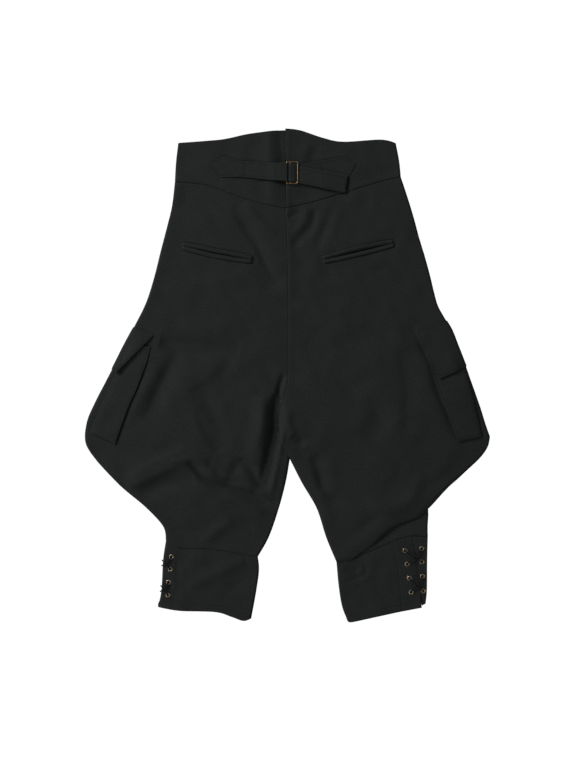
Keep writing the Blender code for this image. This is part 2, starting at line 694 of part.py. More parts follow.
def welts(collection):
    for side, (path, gape) in WELTS.items():
        line = dense(path, 4)
        way = np.gradient(line, axis=0)
        normal = np.column_stack([-way[:, 1], way[:, 0]]) / np.linalg.norm(way, axis=1, keepdims=True)
        place_along = np.linspace(0, 1, len(line))
        opening = SEAM_GAP + gape / 2 * np.sin(np.pi * place_along) ** 0.8
        for lip, sign in (("upper", 1), ("lower", -1)):
            offsets = (opening, opening + WELT_WIDTH / 2, opening + WELT_WIDTH)
            points = np.stack([line + normal * sign * away[:, None] for away in offsets], 1)
            edges = (SIDE_LEFT,) if side == "left" else (SIDE_RIGHT,)
            surface = with_height(points, cloth_height(points[..., 0], points[..., 1], edges))
            lift = np.full(surface.shape[:2], WELT_LIFT)
            lift[:, 1] += WELT_CROWN
            cloth_piece(f"welt_{lip}_{side}", moved_out(surface, lift), collection, TRIM_WALL)


def trims(collection):
    left, right = (SIDE_LEFT, INSEAM_LEFT), (SIDE_RIGHT, INSEAM_RIGHT)
    cargo_pocket("cargo_pocket_left", POCKET_LEFT, left, collection)
    cargo_pocket("cargo_pocket_right", POCKET_RIGHT, right, collection)
    cargo_flap("cargo_flap_left", FLAP_LEFT, left, FLAP_CURL["left"], collection)
    cargo_flap("cargo_flap_right", FLAP_RIGHT, right, FLAP_CURL["right"], collection)
    welts(collection)


# The cinch at the back

def yoke_level(x, y):
    """Height of the yoke without its folds: the straps bridge those."""
    height = np.full_like(x, PLAIN_HEIGHT)
    for sx, sy, rx, ry, rise in SWELLS:
        height += rise * np.exp(-((x - sx) / rx) ** 2 - ((y - sy) / ry) ** 2)
    return height


def strap_rows(table, steps=1):
    rows = dense(table, steps)
    upper, lower = rows[:, 0:2], rows[:, 2:4]
    level = yoke_level((upper[:, 0] + lower[:, 0]) / 2, (upper[:, 1] + lower[:, 1]) / 2)
    return upper, lower, level + rows[:, 4]


def turn_rows(centre_x, centre_z, start, end, upper_y, lower_y, count=7):
    angles = np.radians(np.linspace(start, end, count))
    x = centre_x + TURN * np.cos(angles)
    z = centre_z + TURN * np.sin(angles)
    upper = np.column_stack([x, np.full(count, upper_y)])
    lower = np.column_stack([x, np.full(count, lower_y)])
    return upper, lower, z


def strap(name, parts, collection):
    upper = np.vstack([part[0] for part in parts])
    lower = np.vstack([part[1] for part in parts])
    z = np.concatenate([part[2] for part in parts])
    rows = []
    for share in (0, 0.5, 1):
        rows.append(np.column_stack([upper * (1 - share) + lower * share, z]))
    cloth_piece(name, np.stack(rows, 1), collection, TRIM_WALL, centred=True)


def cinch(collection, cutters):
    bar_z = float(yoke_level(np.array(10.0), np.array(360.0))) + BUCKLE_HEIGHT
    left_end = turn_rows(BAR_LEFT, bar_z, 90, -90, *LEFT_TURN)
    upper, lower = ((LEFT_RETURN_X, y) for y in LEFT_TURN)
    under = (np.array([upper]), np.array([lower]), np.array([bar_z - TURN]))
    strap("cinch_tab_left", (strap_rows(TAB_LEFT), left_end, under), collection)
    round_bar = turn_rows(BAR_MIDDLE, bar_z, -90, -270, *RIGHT_TURN)
    strap("cinch_strap_right", (strap_rows(TAB_RIGHT), round_bar, strap_rows(TAIL)), collection)
    buckle(bar_z, collection, cutters)


def buckle(bar_z, collection, cutters):
    """A wire frame with rounded corners and one bar across it."""
    left, right = BAR_LEFT + BUCKLE_CORNER, BAR_RIGHT - BUCKLE_CORNER
    foot, top = BUCKLE_FOOT + BUCKLE_CORNER, BUCKLE_TOP - BUCKLE_CORNER
    loop = []
    for number, (x, y) in enumerate(((right, top), (left, top), (left, foot), (right, foot))):
        for angle in np.radians(np.linspace(90 * number, 90 * number + 90, 4)):
            loop.append((x + BUCKLE_CORNER * np.cos(angle), y + BUCKLE_CORNER * np.sin(angle), bar_z))
    frame = as_mesh(cord("buckle", loop, WIRE, METAL, collection, cyclic=True), collection)
    ends = ((BAR_MIDDLE, BUCKLE_FOOT, bar_z), (BAR_MIDDLE, BUCKLE_TOP, bar_z))
    bar = as_mesh(cord("buckle_bar", ends, WIRE * 0.85, METAL, cutters), cutters)
    bar.hide_render = True
    bar.display_type = "WIRE"
    joined = frame.modifiers.new("bar", "BOOLEAN")
    joined.operation = "UNION"
    joined.object = bar


def as_mesh(made, collection):
    """The curve's tube as a mesh object of the same name, with its caps welded."""
    graph = bpy.context.evaluated_depsgraph_get()
    mesh = bpy.data.meshes.new_from_object(made.evaluated_get(graph))
    form = bmesh.new()
    form.from_mesh(mesh)
    bmesh.ops.remove_doubles(form, verts=form.verts, dist=0.00001)
    form.to_mesh(mesh)
    form.free()
    mesh.shade_smooth()
    name, world = made.name, made.matrix_world.copy()
    bpy.data.objects.remove(made)
    solid = bpy.data.objects.new(name, mesh)
    solid.matrix_world = world
    collection.objects.link(solid)
    return solid


# Eyelets and laces

def eyelet_mesh():
    """Profile of a rolled ring on a short barrel, down its outer side and up the bore."""
    rise = SEAM_GAP + FLANGE_RISE
    profile = ((BARREL + 0.5, rise), (FLANGE - 0.2, rise - 0.35), (FLANGE, SEAM_GAP), (BARREL, SEAM_GAP),
               (BARREL, -WALL - 0.25), (BARREL_BORE, -WALL - 0.25), (BARREL_BORE + 0.15, rise - 0.25))
    mesh = bpy.data.meshes.new("eyelet")
    ring = [(i, (i + 1) % len(profile)) for i in range(len(profile))]
    mesh.from_pydata([(r * MM, 0, z * MM) for r, z in profile], ring, [])
    return mesh


def eyelets(collection):
    mesh = eyelet_mesh()
    rows = (("left", EYELETS_LEFT), ("right", EYELETS_RIGHT), ("front", EYELETS_FRONT))
    for side, places in rows:
        for number, (x, y) in enumerate(places, 1):
            own = mesh.copy()
            made = place(f"eyelet_{side}_{number}", own, METAL, collection, (x, y, PLAIN_HEIGHT))
            turned = made.modifiers.new("turned", "SCREW")
            turned.steps = EYELET_STEPS
            turned.render_steps = EYELET_STEPS
            turned.use_merge_vertices = True
            turned.merge_threshold = 0.00001


def strand(start, end, over, both_ends=True):
    """A lace from one eyelet's barrel to another: up, over the flange, across, and down again."""
    start, end = np.asarray(start, float), np.asarray(end, float)
    length = np.linalg.norm(end - start)
    way = (end - start) / length
    crossing = LACE_RISE + (LACE_CROSS if over else 0)
    stations = [(0, -0.9), (0, 1.3), (1.3, LACE_RISE), (FLANGE - 0.8, LACE_RISE + 0.35),
                (length * 0.38, crossing), (length * 0.5, crossing)]
    if both_ends:
        stations += [(length - away, z) for away, z in reversed(stations[:-1])]
    line = [(*(start + way * away), PLAIN_HEIGHT + z) for away, z in stations]
    return line


def laces(collection):
    pairs = (("upper", 0, 1), ("lower", 2, 3))
    for level, high, low in pairs:
        under = strand(EYELETS_RIGHT[high], EYELETS_FRONT[low], False)
        over = strand(EYELETS_RIGHT[low], EYELETS_FRONT[high], True)
        cord(f"lace_right_{level}_under", under, LACE, CORD, collection)
        cord(f"lace_right_{level}_over", over, LACE, CORD, collection)
        for name, here, there, lifted in (("under", high, low, 0.0), ("over", low, high, LACE_CROSS)):
            edge_lace(f"lace_left_{level}_{name}", EYELETS_LEFT[here], EYELETS_LEFT[there], lifted, collection)


def edge_lace(name, here, there, lifted, collection):
    """On the left cuff the lace goes from its eyelet to the outer edge and down into the slit there."""
    mid_y = (here[1] + there[1]) / 2
    exit_y = mid_y + 0.22 * (there[1] - here[1])
    side_x = float(np.interp(-exit_y, -SIDE_LEFT[:, 1], SIDE_LEFT[:, 0]))
    line = strand(here, (side_x + 1, exit_y), False, both_ends=False)[:4]
    line += [(side_x + 5.5, mid_y, PLAIN_HEIGHT + LACE_RISE + lifted),
             (side_x + 1.5, mid_y + 0.12 * (there[1] - here[1]), PLAIN_HEIGHT + 1.4 + lifted * 0.9),
             (side_x - 1.2, exit_y, PLAIN_HEIGHT - 0.2 + lifted * 0.3),
             (side_x - 1.6, exit_y, 1.4)]
    cord(name, line, LACE, CORD, collection)


def main():
    for leftover in list(bpy.data.objects):
        bpy.data.objects.remove(leftover)
    collection = bpy.data.collections.new("breeches")
    cutters = bpy.data.collections.new("cutters")
    bpy.context.scene.collection.children.link(collection)
    bpy.context.scene.collection.children.link(cutters)
    back_panels(collection)
    cuffs(collection, cutters)
    front_panels(collection)
    trims(collection)
    cinch(collection, cutters)
    eyelets(collection)
    laces(collection)


main()
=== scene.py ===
# %% [markdown]
# Laced breeches, laid flat with the back uppermost.
# This notebook dresses a set of plain solids as black wool breeches of a riding cut. The solids come
# first: they fix where every panel, strap, eyelet and lace lies. Each cell below then makes one kind of
# piece as a fine surface on the same form, or one finish, and prints what it made.

import bpy
import numpy as np
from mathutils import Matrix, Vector


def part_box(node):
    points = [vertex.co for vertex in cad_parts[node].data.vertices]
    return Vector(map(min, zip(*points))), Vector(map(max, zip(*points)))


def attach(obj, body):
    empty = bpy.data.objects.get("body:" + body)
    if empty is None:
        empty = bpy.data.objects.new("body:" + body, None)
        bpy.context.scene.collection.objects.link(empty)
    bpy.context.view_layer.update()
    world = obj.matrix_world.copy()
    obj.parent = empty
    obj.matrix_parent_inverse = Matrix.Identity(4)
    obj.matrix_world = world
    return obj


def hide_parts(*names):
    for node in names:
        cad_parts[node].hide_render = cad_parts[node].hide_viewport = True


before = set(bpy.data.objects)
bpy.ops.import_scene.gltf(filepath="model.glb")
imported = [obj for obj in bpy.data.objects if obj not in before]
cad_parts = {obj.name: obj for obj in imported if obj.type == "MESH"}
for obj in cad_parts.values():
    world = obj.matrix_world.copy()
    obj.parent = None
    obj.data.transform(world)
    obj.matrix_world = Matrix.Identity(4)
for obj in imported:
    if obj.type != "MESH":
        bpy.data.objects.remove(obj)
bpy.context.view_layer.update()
MM = 0.001

# %% [markdown]
# The camera and the light. The garment was photographed from straight above, cut out on white. A long
# lens far away keeps the edges upright. Black wool shows its form only where the light is uneven, so a
# large soft light from the upper left models the folds, a weaker one from the lower left opens the
# shadows of the knees, a faint one from the right keeps the far edges readable, and a dim white room
# fills the rest.

# %% Camera, floor and lights
PHOTO_WIDTH, PHOTO_HEIGHT = 580, 773
MM_PER_PIXEL = 880 / 494  # the garment's length over its length in the photo
ORIGIN_PIXEL = (287, 375)
LENS, SENSOR = 85.0, 36.0
FACE_LEVEL = 5  # millimetres from the floor to the face that the camera is focused on
FLOOR_HALF, FLOOR_DROP = 6.0, 0.6 * MM  # metres; just under the cloth, so that the two never flicker
ROOM, FLOOR_GLOW, FLOOR_SEEN = 0.17, 0.28, 1.02  # brightness: room, floor to cloth, floor to camera
# Columns: name, place in metres, width in metres, power in watts
LIGHTS = (
    ("window_left", (-2.6, 2.2, 2.1), 1.5, 176),
    ("window_right", (2.4, -0.4, 1.3), 1.2, 9),
    ("window_low", (-2.5, -2.2, 1.7), 1.4, 50),
)


def add_camera():
    """Straight down, over the photo's middle, as far away as its height asks for with this lens."""
    centre_x = (PHOTO_WIDTH / 2 - ORIGIN_PIXEL[0]) * MM_PER_PIXEL
    centre_y = (ORIGIN_PIXEL[1] - PHOTO_HEIGHT / 2) * MM_PER_PIXEL
    away = PHOTO_HEIGHT * MM_PER_PIXEL * LENS / SENSOR
    data = bpy.data.cameras.new("camera")
    data.lens, data.sensor_width = LENS, SENSOR
    camera = bpy.data.objects.new("camera", data)
    camera.location = (centre_x * MM, centre_y * MM, (away + FACE_LEVEL) * MM)
    bpy.context.scene.collection.objects.link(camera)
    bpy.context.scene.camera = camera
    return away


def add_light(name, place, size, power):
    """A square soft light that looks at the middle of the garment."""
    data = bpy.data.lights.new(name, "AREA")
    data.shape = "SQUARE"
    data.size, data.energy = size, power
    lamp = bpy.data.objects.new(name, data)
    lamp.location = place
    lamp.rotation_euler = (-Vector(place)).to_track_quat("-Z", "Y").to_euler()
    bpy.context.scene.collection.objects.link(lamp)


def add_floor():
    """A white table that shows no shadow, like the cut-out, and lights the cloth's edges only faintly."""
    mesh = bpy.data.meshes.new("floor")
    corners = [(x * FLOOR_HALF, y * FLOOR_HALF, -FLOOR_DROP) for x, y in ((-1, -1), (1, -1), (1, 1), (-1, 1))]
    mesh.from_pydata(corners, [], [(0, 1, 2, 3)])
    floor = bpy.data.objects.new("floor", mesh)
    white = bpy.data.materials.new("white_floor")
    white.use_nodes = True
    tree = white.node_tree
    tree.nodes.clear()
    glow = tree.nodes.new("ShaderNodeEmission")
    seen = tree.nodes.new("ShaderNodeLightPath")
    strength = tree.nodes.new("ShaderNodeMapRange")
    strength.inputs["To Min"].default_value = FLOOR_GLOW
    strength.inputs["To Max"].default_value = FLOOR_SEEN
    out = tree.nodes.new("ShaderNodeOutputMaterial")
    tree.links.new(seen.outputs["Is Camera Ray"], strength.inputs["Value"])
    tree.links.new(strength.outputs["Result"], glow.inputs["Strength"])
    tree.links.new(glow.outputs["Emission"], out.inputs["Surface"])
    mesh.materials.append(white)
    bpy.context.scene.collection.objects.link(floor)


world = bpy.data.worlds.new("white_room")
world.use_nodes = True
world.node_tree.nodes["Background"].inputs["Color"].default_value = (1, 1, 1, 1)
world.node_tree.nodes["Background"].inputs["Strength"].default_value = ROOM
bpy.context.scene.world = world
bpy.context.scene.view_settings.view_transform = "Standard"
print("camera distance in mm:", round(add_camera()))
add_floor()
for light in LIGHTS:
    add_light(*light)

# %% [markdown]
# The outline of each panel. A tailor drafts a panel as points joined by curves. Here a row gives the
# side point and the inner point of one section, in millimetres, and a smooth curve runs through the rows.
# The same tables shape the solids, so the fine cloth and the solids agree.

# %% Section tables
# Columns: side x, side y, inner x, inner y
YOKE_LEFT = ((-194, 413, -3, 436), (-198, 379, -2, 368), (-200, 344, -2, 297))
YOKE_RIGHT = ((194, 413, -3, 439), (200, 382, -2, 368), (203, 353, -2, 297))
LEG_LEFT = (
    (-200, 344, -2, 297),
    (-205, 302, 0, 240),
    (-213, 268, 1, 190),
    (-225, 222, 2, 134),
    (-237, 174, 2, 90),
    (-251, 130, 2, 45),
    (-270, 91, 2, 10),
    (-289, 56, 1, -15),
    (-307, 20, -4, -38),
    (-325, -15, -12, -62),
    (-342, -48, -15, -85),
    (-357, -84, -13, -105),
    (-359, -122, -8, -127),
    (-338, -155, 5, -150),
    (-297, -198, -2, -190),
    (-252, -236, -14, -236),
    (-221, -270, -32, -288),
    (-216, -296, -52, -324),
)
THIGH_RIGHT = (
    (203, 353, -2, 297),
    (215, 317, 0, 240),
    (226, 281, 1, 190),
    (236, 244, 2, 134),
    (246, 211, 2, 90),
    (255, 178, 2, 45),
    (262, 149, 2, 10),
    (269, 124, 1, -15),
    (281, 102, -4, -38),
    (294, 80, -12, -62),
    (303, 57, -15, -85),
    (311, 36, -13, -105),
    (319, 16, -8, -127),
    (327, -7, 5, -150),
    (337, -35, 27, -193),
    (346, -61, 53, -238),
    (354, -87, 70, -290),
    (362, -110, 88, -333),
)
NOTCH = 13  # the section where the seat seam ends and the inseams part
SHIN_RIGHT = ((251.5, -232, 81, -306), (252, -250, 84.5, -314), (251, -268, 87, -322), (251, -289, 88, -331))
CUFF_LEFT = (
    (-216, -296, -52, -324),
    (-221, -330, -50, -350),
    (-224, -383, -57, -398),
    (-230, -413, -64, -434),
)
CUFF_RIGHT = (
    (223, -288, 88, -331),
    (231, -330, 92, -375),
    (237, -383, 98, -412),
    (240, -414, 108, -438),
)
# Columns: inner x, inner y, outer edge x, outer edge y, slit x, slit y
CUFF_FRONT_RIGHT = (
    (90, -331, 251, -289, 223.6, -288),
    (94, -375, 250, -330, 231.6, -330),
    (100, -412, 249.5, -383, 237.6, -383),
    (110, -436, 247, -408, 240.6, -411),
)
# Seams and free edges that bow between the ends of a section: x, y
WAIST_LEFT = ((-194, 413), (-119, 419), (-71, 429), (-25, 435), (-3, 436))
WAIST_RIGHT = ((-3, 439), (23, 436), (64, 422), (100, 415), (166, 419), (194, 413))
YOKE_SEAM_LEFT = ((-200, 344), (-143, 338), (-96, 321), (-48, 306), (-2, 297))
YOKE_SEAM_RIGHT = ((-2, 297), (46, 308), (112, 328), (166, 344), (203, 353))
CUFF_SEAM_LEFT = ((-216, -296), (-191, -309), (-143, -310), (-96, -317), (-52, -324))
CUFF_SEAM_RIGHT = ((88, -331), (126, -324), (189, -297), (224, -287), (251, -289))
HEM_LEFT = ((-230, -413), (-191, -420), (-128, -422), (-98, -431), (-78, -438), (-64, -434))
HEM_RIGHT = ((108, -438), (116, -440), (157, -431), (201, -422), (240, -414))
LIP = ((88, -333), (112, -329), (130, -316), (153, -303), (171, -286), (196, -268), (232, -254), (255, -235))
WING_UNDER = ((255, -235), (290, -198), (322, -169), (345, -147), (358, -128), (362, -110))
SHIN_TOP = ((81, -306), (100, -307), (124, -303), (146, -290), (165, -273), (192, -256), (226, -245),
            (251.5, -232))

# %% [markdown]
# A few small helpers for curves. A Catmull-Rom spline passes through its points, which suits measured
# outlines. The distance to a path is what turns an outline into a rolled edge and a line into a crease.

# %% Curves and distances
def spline(rows, t, corner=None):
    """Curve through the rows, read at row numbers t, with a sharp turn at the row named as corner.

    Between rows 1 and 2 with neighbours 0 and 3 the formula is half of: twice row 1, plus f times
    (row 2 less row 0), plus f squared and f cubed terms that make the slope continuous.
    """
    rows = np.asarray(rows, float)
    last = len(rows) - 1
    i = np.minimum(np.asarray(t).astype(int), last - 1)
    before, after = i - 1, i + 2
    if corner is not None:
        before = np.where(i >= corner, np.maximum(before, corner), before)
        after = np.where(i < corner, np.minimum(after, corner), after)
    p0, p1 = rows[np.maximum(before, 0)], rows[i]
    p2, p3 = rows[i + 1], rows[np.minimum(after, last)]
    f = (t - i)[:, None]
    return 0.5 * (2 * p1 + (p2 - p0) * f + (2 * p0 - 5 * p1 + 4 * p2 - p3) * f**2
                  + (3 * p1 - p0 - 3 * p2 + p3) * f**3)


def dense(rows, steps=4, corner=None):
    """The spline read at even steps between its rows."""
    return spline(rows, np.linspace(0, len(rows) - 1, (len(rows) - 1) * steps + 1), corner)


def column(rows, first):
    """The points x, y that stand in two neighbouring columns of a table."""
    return [row[first:first + 2] for row in rows]


def smooth_step(value):
    """0 below 0, 1 above 1, and three squares less two cubes in between."""
    value = np.clip(value, 0, 1)
    return value * value * (3 - 2 * value)


def quarter(away, reach):
    """Quarter of an ellipse: 0 at the edge, 1 from reach inwards."""
    return np.sqrt(1 - (1 - np.clip(away / reach, 0, 1)) ** 2)


def swell(place):
    """0 at both ends of a path and 1 in its middle: the root of four times the place times its rest."""
    return np.sqrt(np.clip(4 * place * (1 - place), 0, 1))


def unit(vectors):
    """The same directions, each 1 long."""
    return vectors / np.maximum(np.linalg.norm(vectors, axis=-1, keepdims=True), 1e-9)


def walked_along(line):
    """The way from the line's first point to each of its points."""
    return np.concatenate([[0], np.cumsum(np.linalg.norm(np.diff(line, axis=0), axis=1))])


def from_path(x, y, path):
    """Signed distance to a path (positive on its left) and the place along it, from 0 to 1.

    Each point is dropped square onto every straight piece of the path, and the nearest foot is kept.
    """
    start, run = path[:-1], np.diff(path, axis=0)
    length = np.maximum(np.hypot(run[:, 0], run[:, 1]), 1e-6)
    travelled = np.concatenate([[0], np.cumsum(length)[:-1]])
    dx, dy = x[..., None] - start[:, 0], y[..., None] - start[:, 1]
    along = np.clip((dx * run[:, 0] + dy * run[:, 1]) / length**2, 0, 1)
    away = np.hypot(dx - along * run[:, 0], dy - along * run[:, 1])
    nearest = away.argmin(-1)[..., None]
    side = np.where(run[:, 0] * dy - run[:, 1] * dx >= 0, 1.0, -1.0)
    place = np.take_along_axis(travelled + along * length, nearest, -1)[..., 0] / length.sum()
    return away.min(-1) * np.take_along_axis(side, nearest, -1)[..., 0], place


SIDE_LEFT = np.vstack([dense(column(YOKE_LEFT, 0)), dense(column(LEG_LEFT, 0)), dense(column(CUFF_LEFT, 0))])
INSEAM_LEFT = np.vstack([dense(column(LEG_LEFT[NOTCH:], 2)), dense(column(CUFF_LEFT, 2))])
SIDE_RIGHT = np.vstack([dense(column(YOKE_RIGHT, 0)), dense(column(THIGH_RIGHT, 0)), dense(WING_UNDER)[::-1]])
SHIN_SIDE = dense(column(SHIN_RIGHT, 0))
INSEAM_RIGHT = dense(column(THIGH_RIGHT[NOTCH:], 2))
SHIN_INSEAM = np.vstack([dense(column(SHIN_RIGHT, 2)), dense(column(CUFF_RIGHT, 2))])
LIP_PATH = dense(LIP)
SEAT_SEAM = dense(column(LEG_LEFT[:NOTCH + 1], 2))
print("outline points:", len(SIDE_LEFT) + len(SIDE_RIGHT))

# %% [markdown]
# Folds and creases. Wool laid flat keeps soft troughs and ridges: a few deep ones where the wide thighs
# meet the close cuffs and at the crotch, and many slight ones that fan out from the cinch and the seams.
# Each is given as a path. Across it the height falls off as a bell curve, steeper on one side
# where a fold leans over, and along it the depth swells and fades.

# %% Fold tables
PLAIN_HEIGHT = 4.6  # of the face over the floor
LEAST_HEIGHT, LOWEST = 2.4, 1.4  # in the deepest trough, and in the deepest seam
FOLD_GAIN = 1.25  # the cloth shows its folds a quarter higher than the tables say
# Columns: x, y, radius along x, radius along y, height of the swelling
SWELLS = (
    (-100, 200, 90, 120, 2.2),
    (100, 200, 90, 120, 2.2),
    (-190, -70, 115, 115, 7.0),
    (190, -80, 125, 125, 7.5),
    (-40, -90, 70, 70, 4.5),
    (40, -90, 60, 80, 3.5),
    (-120, -215, 90, 55, 4.0),
    (165, -255, 95, 60, 4.2),
)
# Columns: what it is, its path, half width, height (below zero for a trough), lean to the left or right
FOLDS = (
    ("pleat under the cinch", ((-3.1, 450), (-2, 368), (-2, 286)), 12, -1.3, -1.0),
    ("fold over the centre", ((-3.1, 450), (-2, 368), (-2, 286)), 12, 1.2, 1.0),
    ("trough right of the cinch", ((59, 412), (38, 385)), 9, -1.2, 0.0),
    ("left seat trough", ((-96, 300), (-75, 266), (-55, 234), (-34, 190), (-14, 160)), 8.5, -2.8, 0.2),
    ("right seat trough", ((84, 300), (66, 258), (52, 222)), 9, -2.4, 0.0),
    ("right seat dimple", ((50, 296), (45, 268), (30, 250), (10, 230)), 6.5, -3.2, 0.0),
    ("below the left hip", ((-226, 58), (-155, 46), (-84, 38)), 15, -5.0, 0.1),
    ("down the left thigh", ((-192, 44), (-222, -16), (-252, -82)), 15, -5.2, 0.2),
    ("short left trough", ((-160, -18), (-132, -70), (-110, -134)), 16, -3.4, 0.0),
    ("crotch valley", ((-17, -34), (-21, -66), (-23, -105), (-31, -150), (-43, -202)), 8.5, -13.0, 0.1),
    ("bank of the valley", ((-46, -36), (-50, -104), (-60, -160)), 15, 4.6, 0.0),
    ("long left ridge", ((-285, -200), (-222, -167), (-173, -151), (-142, -160)), 13, 6.4, 0.25),
    ("under the long ridge", ((-262, -215), (-215, -195), (-165, -184)), 13, -3.4, 0.0),
    ("left knee trough", ((-176, -152), (-150, -182), (-125, -197), (-98, -203), (-66, -215), (-34, -230)),
     6, -7.0, 0.0),
    ("left knee ridge", ((-152, -164), (-122, -180), (-90, -186)), 8, 3.4, 0.0),
    ("left inner trough", ((-84, -150), (-62, -172), (-48, -205)), 8, -4.0, 0.0),
    ("right thigh trough", ((204, 45), (216, -20), (213, -100)), 18, -2.8, 0.35),
    ("right middle trough", ((170, -40), (160, -82), (148, -120)), 22, -2.8, 0.0),
    ("right crotch dimple", ((8, -108), (32, -126)), 9, -3.2, 0.0),
    ("right inner trough", ((45, -146), (58, -176), (64, -208)), 10, -4.6, 0.2),
    ("curve above the lip", ((242, -172), (216, -222), (170, -236), (146, -214)), 13, 3.0, 0.0),
    ("swell of the lip", ((80, -338), (110, -316), (150, -284), (190, -250), (240, -224), (300, -170)),
     17, 1.6, 0.0),
)
CUFF_FOLDS = (
    ("left cuff, upper", ((-178, -335), (-143, -322)), 12, 1.2, 0.0),
    ("left cuff, lower", ((-177, -380), (-129, -354), (-75, -331)), 11, 2.6, 0.0),
    ("right cuff, upper", ((96, -339), (122, -350)), 8, 1.2, 0.0),
    ("right cuff, lower", ((137, -345), (134, -360), (106, -371)), 8, 1.3, 0.0),
    ("across the right shin", ((84, -322), (122, -312), (168, -286), (256, -252)), 20, -0.6, 0.0),
)
CREASES = (
    ("pleat left of the centre", ((-3.4, 480), (-2, 368), (-2, 282)), 7, -2.0, -1.0),
    ("bank of the pleat", ((-30, 460), (-30, 372), (-28, 300)), 13, 2.4, 0.2),
    ("left of the right trough", ((40, 414), (24, 372)), 9, 0.9, 0.0),
    ("left of the seat, light edge", ((-76, 306), (-48, 272), (-18, 248)), 8, 2.0, 0.0),
    ("below the left seat trough", ((-56, 216), (-40, 186), (-27, 150)), 11, -1.2, 0.0),
    ("under the yoke, left", ((-158, 330), (-132, 306), (-112, 280)), 10, 0.8, 0.0),
    ("under the yoke, far left", ((-178, 335), (-186, 296)), 9, -0.6, 0.0),
    ("under the yoke, right of the seam", ((2, 280), (24, 291)), 4.5, -1.7, 0.0),
    ("right seat ridge", ((8, 250), (27, 270), (36, 298)), 6.5, 1.9, 0.0),
    ("right seat, far", ((118, 310), (98, 262), (92, 226)), 11, -0.9, 0.0),
    ("right hip, light", ((160, 330), (150, 292)), 10, 0.7, 0.0),
    ("seam side, mid seat", ((14, 226), (26, 184), (22, 140)), 12, -0.9, 0.0),
    ("under the right welt", ((96, 196), (142, 182), (178, 188)), 9, -0.8, 0.0),
    ("under the left welt", ((-170, 196), (-120, 184), (-84, 188)), 9, -0.7, 0.0),
    ("left thigh, slanting", ((-96, 22), (-130, -10), (-150, -30)), 11, -1.5, 0.0),
    ("left thigh, light edge", ((-226, 20), (-262, -40), (-282, -92)), 11, 1.8, 0.0),
    ("left thigh, low", ((-160, -60), (-148, -96), (-118, -138)), 8, -1.6, 0.2),
    ("left thigh, across", ((-300, -128), (-240, -142), (-190, -134)), 12, -1.2, 0.0),
    ("second left ridge", ((-282, -182), (-226, -150), (-176, -132)), 7, 1.9, 0.3),
    ("left ridge, dark foot", ((-268, -192), (-214, -164), (-168, -156)), 5, -1.6, 0.3),
    ("left knee, sharp edge", ((-128, -172), (-112, -186), (-84, -192)), 4.5, -2.8, -0.3),
    ("left knee, branch", ((-108, -196), (-94, -170), (-84, -146)), 9, -3.2, 0.0),
    ("left knee, lower edge", ((-112, -214), (-76, -228), (-40, -246)), 7, 2.0, 0.0),
    ("left shin, across", ((-206, -280), (-176, -276), (-150, -282)), 5, -1.0, 0.0),
    ("left shin, slanting", ((-152, -300), (-124, -276), (-96, -258)), 10, 2.4, 0.0),
    ("left shin, inner", ((-70, -256), (-60, -290)), 9, -0.9, 0.0),
    ("left knee, inner end", ((-66, -210), (-40, -226), (-4, -226)), 9, -3.4, 0.0),
    ("foot of the valley", ((-15, -92), (-25, -130), (-36, -172), (-45, -206)), 6, -5.0, 0.0),
    ("top of the valley", ((-5, 2), (-13, -22), (-19, -58)), 4.5, -5.0, 0.0),
    ("left of the valley", ((-40, -34), (-44, -84), (-50, -128)), 6, 1.5, 0.0),
    ("strip beside the valley", ((-6, -92), (-13, -130), (-21, -170), (-29, -214)), 5, 2.6, 0.0),
    ("right crotch, light edge", ((1, -60), (3, -92), (20, -118)), 8, 3.0, 0.0),
    ("right crotch, low", ((14, -130), (34, -146)), 6, -1.4, 0.0),
    ("right inseam", ((40, -170), (62, -220), (82, -272)), 8, 1.1, 0.0),
    ("right thigh, slanting", ((70, -10), (116, -30), (140, -62)), 14, -1.1, 0.0),
    ("above the wing", ((300, -160), (262, -196), (236, -204)), 10, -1.4, 0.0),
    ("right thigh, low", ((206, -150), (196, -186), (172, -206)), 10, -1.3, 0.0),
    ("above the lip", ((118, -286), (146, -262), (176, -246)), 8, -1.2, 0.0),
    ("left cuff, stub", ((-196, -344), (-178, -356)), 7, 0.7, 0.0),
    ("left cuff, across", ((-120, -398), (-88, -376), (-70, -366)), 8, -0.8, 0.0),
    ("left cuff, near the lacing", ((-192, -330), (-196, -396)), 5, -0.5, 0.0),
    ("right cuff, sharp edge", ((90, -332), (110, -344), (126, -350)), 4.5, -2.2, 0.0),
    ("right cuff, arc", ((138, -336), (138, -356), (104, -371)), 5, -2.0, 0.0),
    ("right cuff, down", ((166, -330), (164, -376), (158, -410)), 10, -0.5, 0.0),
)
# Pressed into the leg only, not into what is sewn over it
PRESSED = (
    ("beside the right pocket", ((224, 90), (239, 58), (250, 36), (259, 14), (265, -8), (278, -46),
                                 (289, -72), (306, -116)), 5.5, -3.4, -0.6),
)


def fold_height(x, y, folds):
    """Sum of the folds: height times exp(-(distance / width) squared), faded at both ends.

    The width is (1 + lean) wide on the left of the path and (1 - lean) wide on its right. A lean of 1
    or -1 leaves one side untouched, as where one half laps over the other.
    """
    total = np.zeros_like(x)
    for _, path, width, height, lean in folds:
        away, place = from_path(x, y, dense(path))
        own = np.maximum(width * np.where(away > 0, 1 + lean, 1 - lean), 1e-3)
        total += FOLD_GAIN * height * np.exp(-(away / own) ** 2) * swell(place)
    return total


def add_swellings(height, x, y):
    """The height plus each swelling: its rise times exp(-(share of its radii squared))."""
    for middle_x, middle_y, radius_x, radius_y, rise in SWELLS:
        height = height + rise * np.exp(-((x - middle_x) / radius_x) ** 2 - ((y - middle_y) / radius_y) ** 2)
    return height


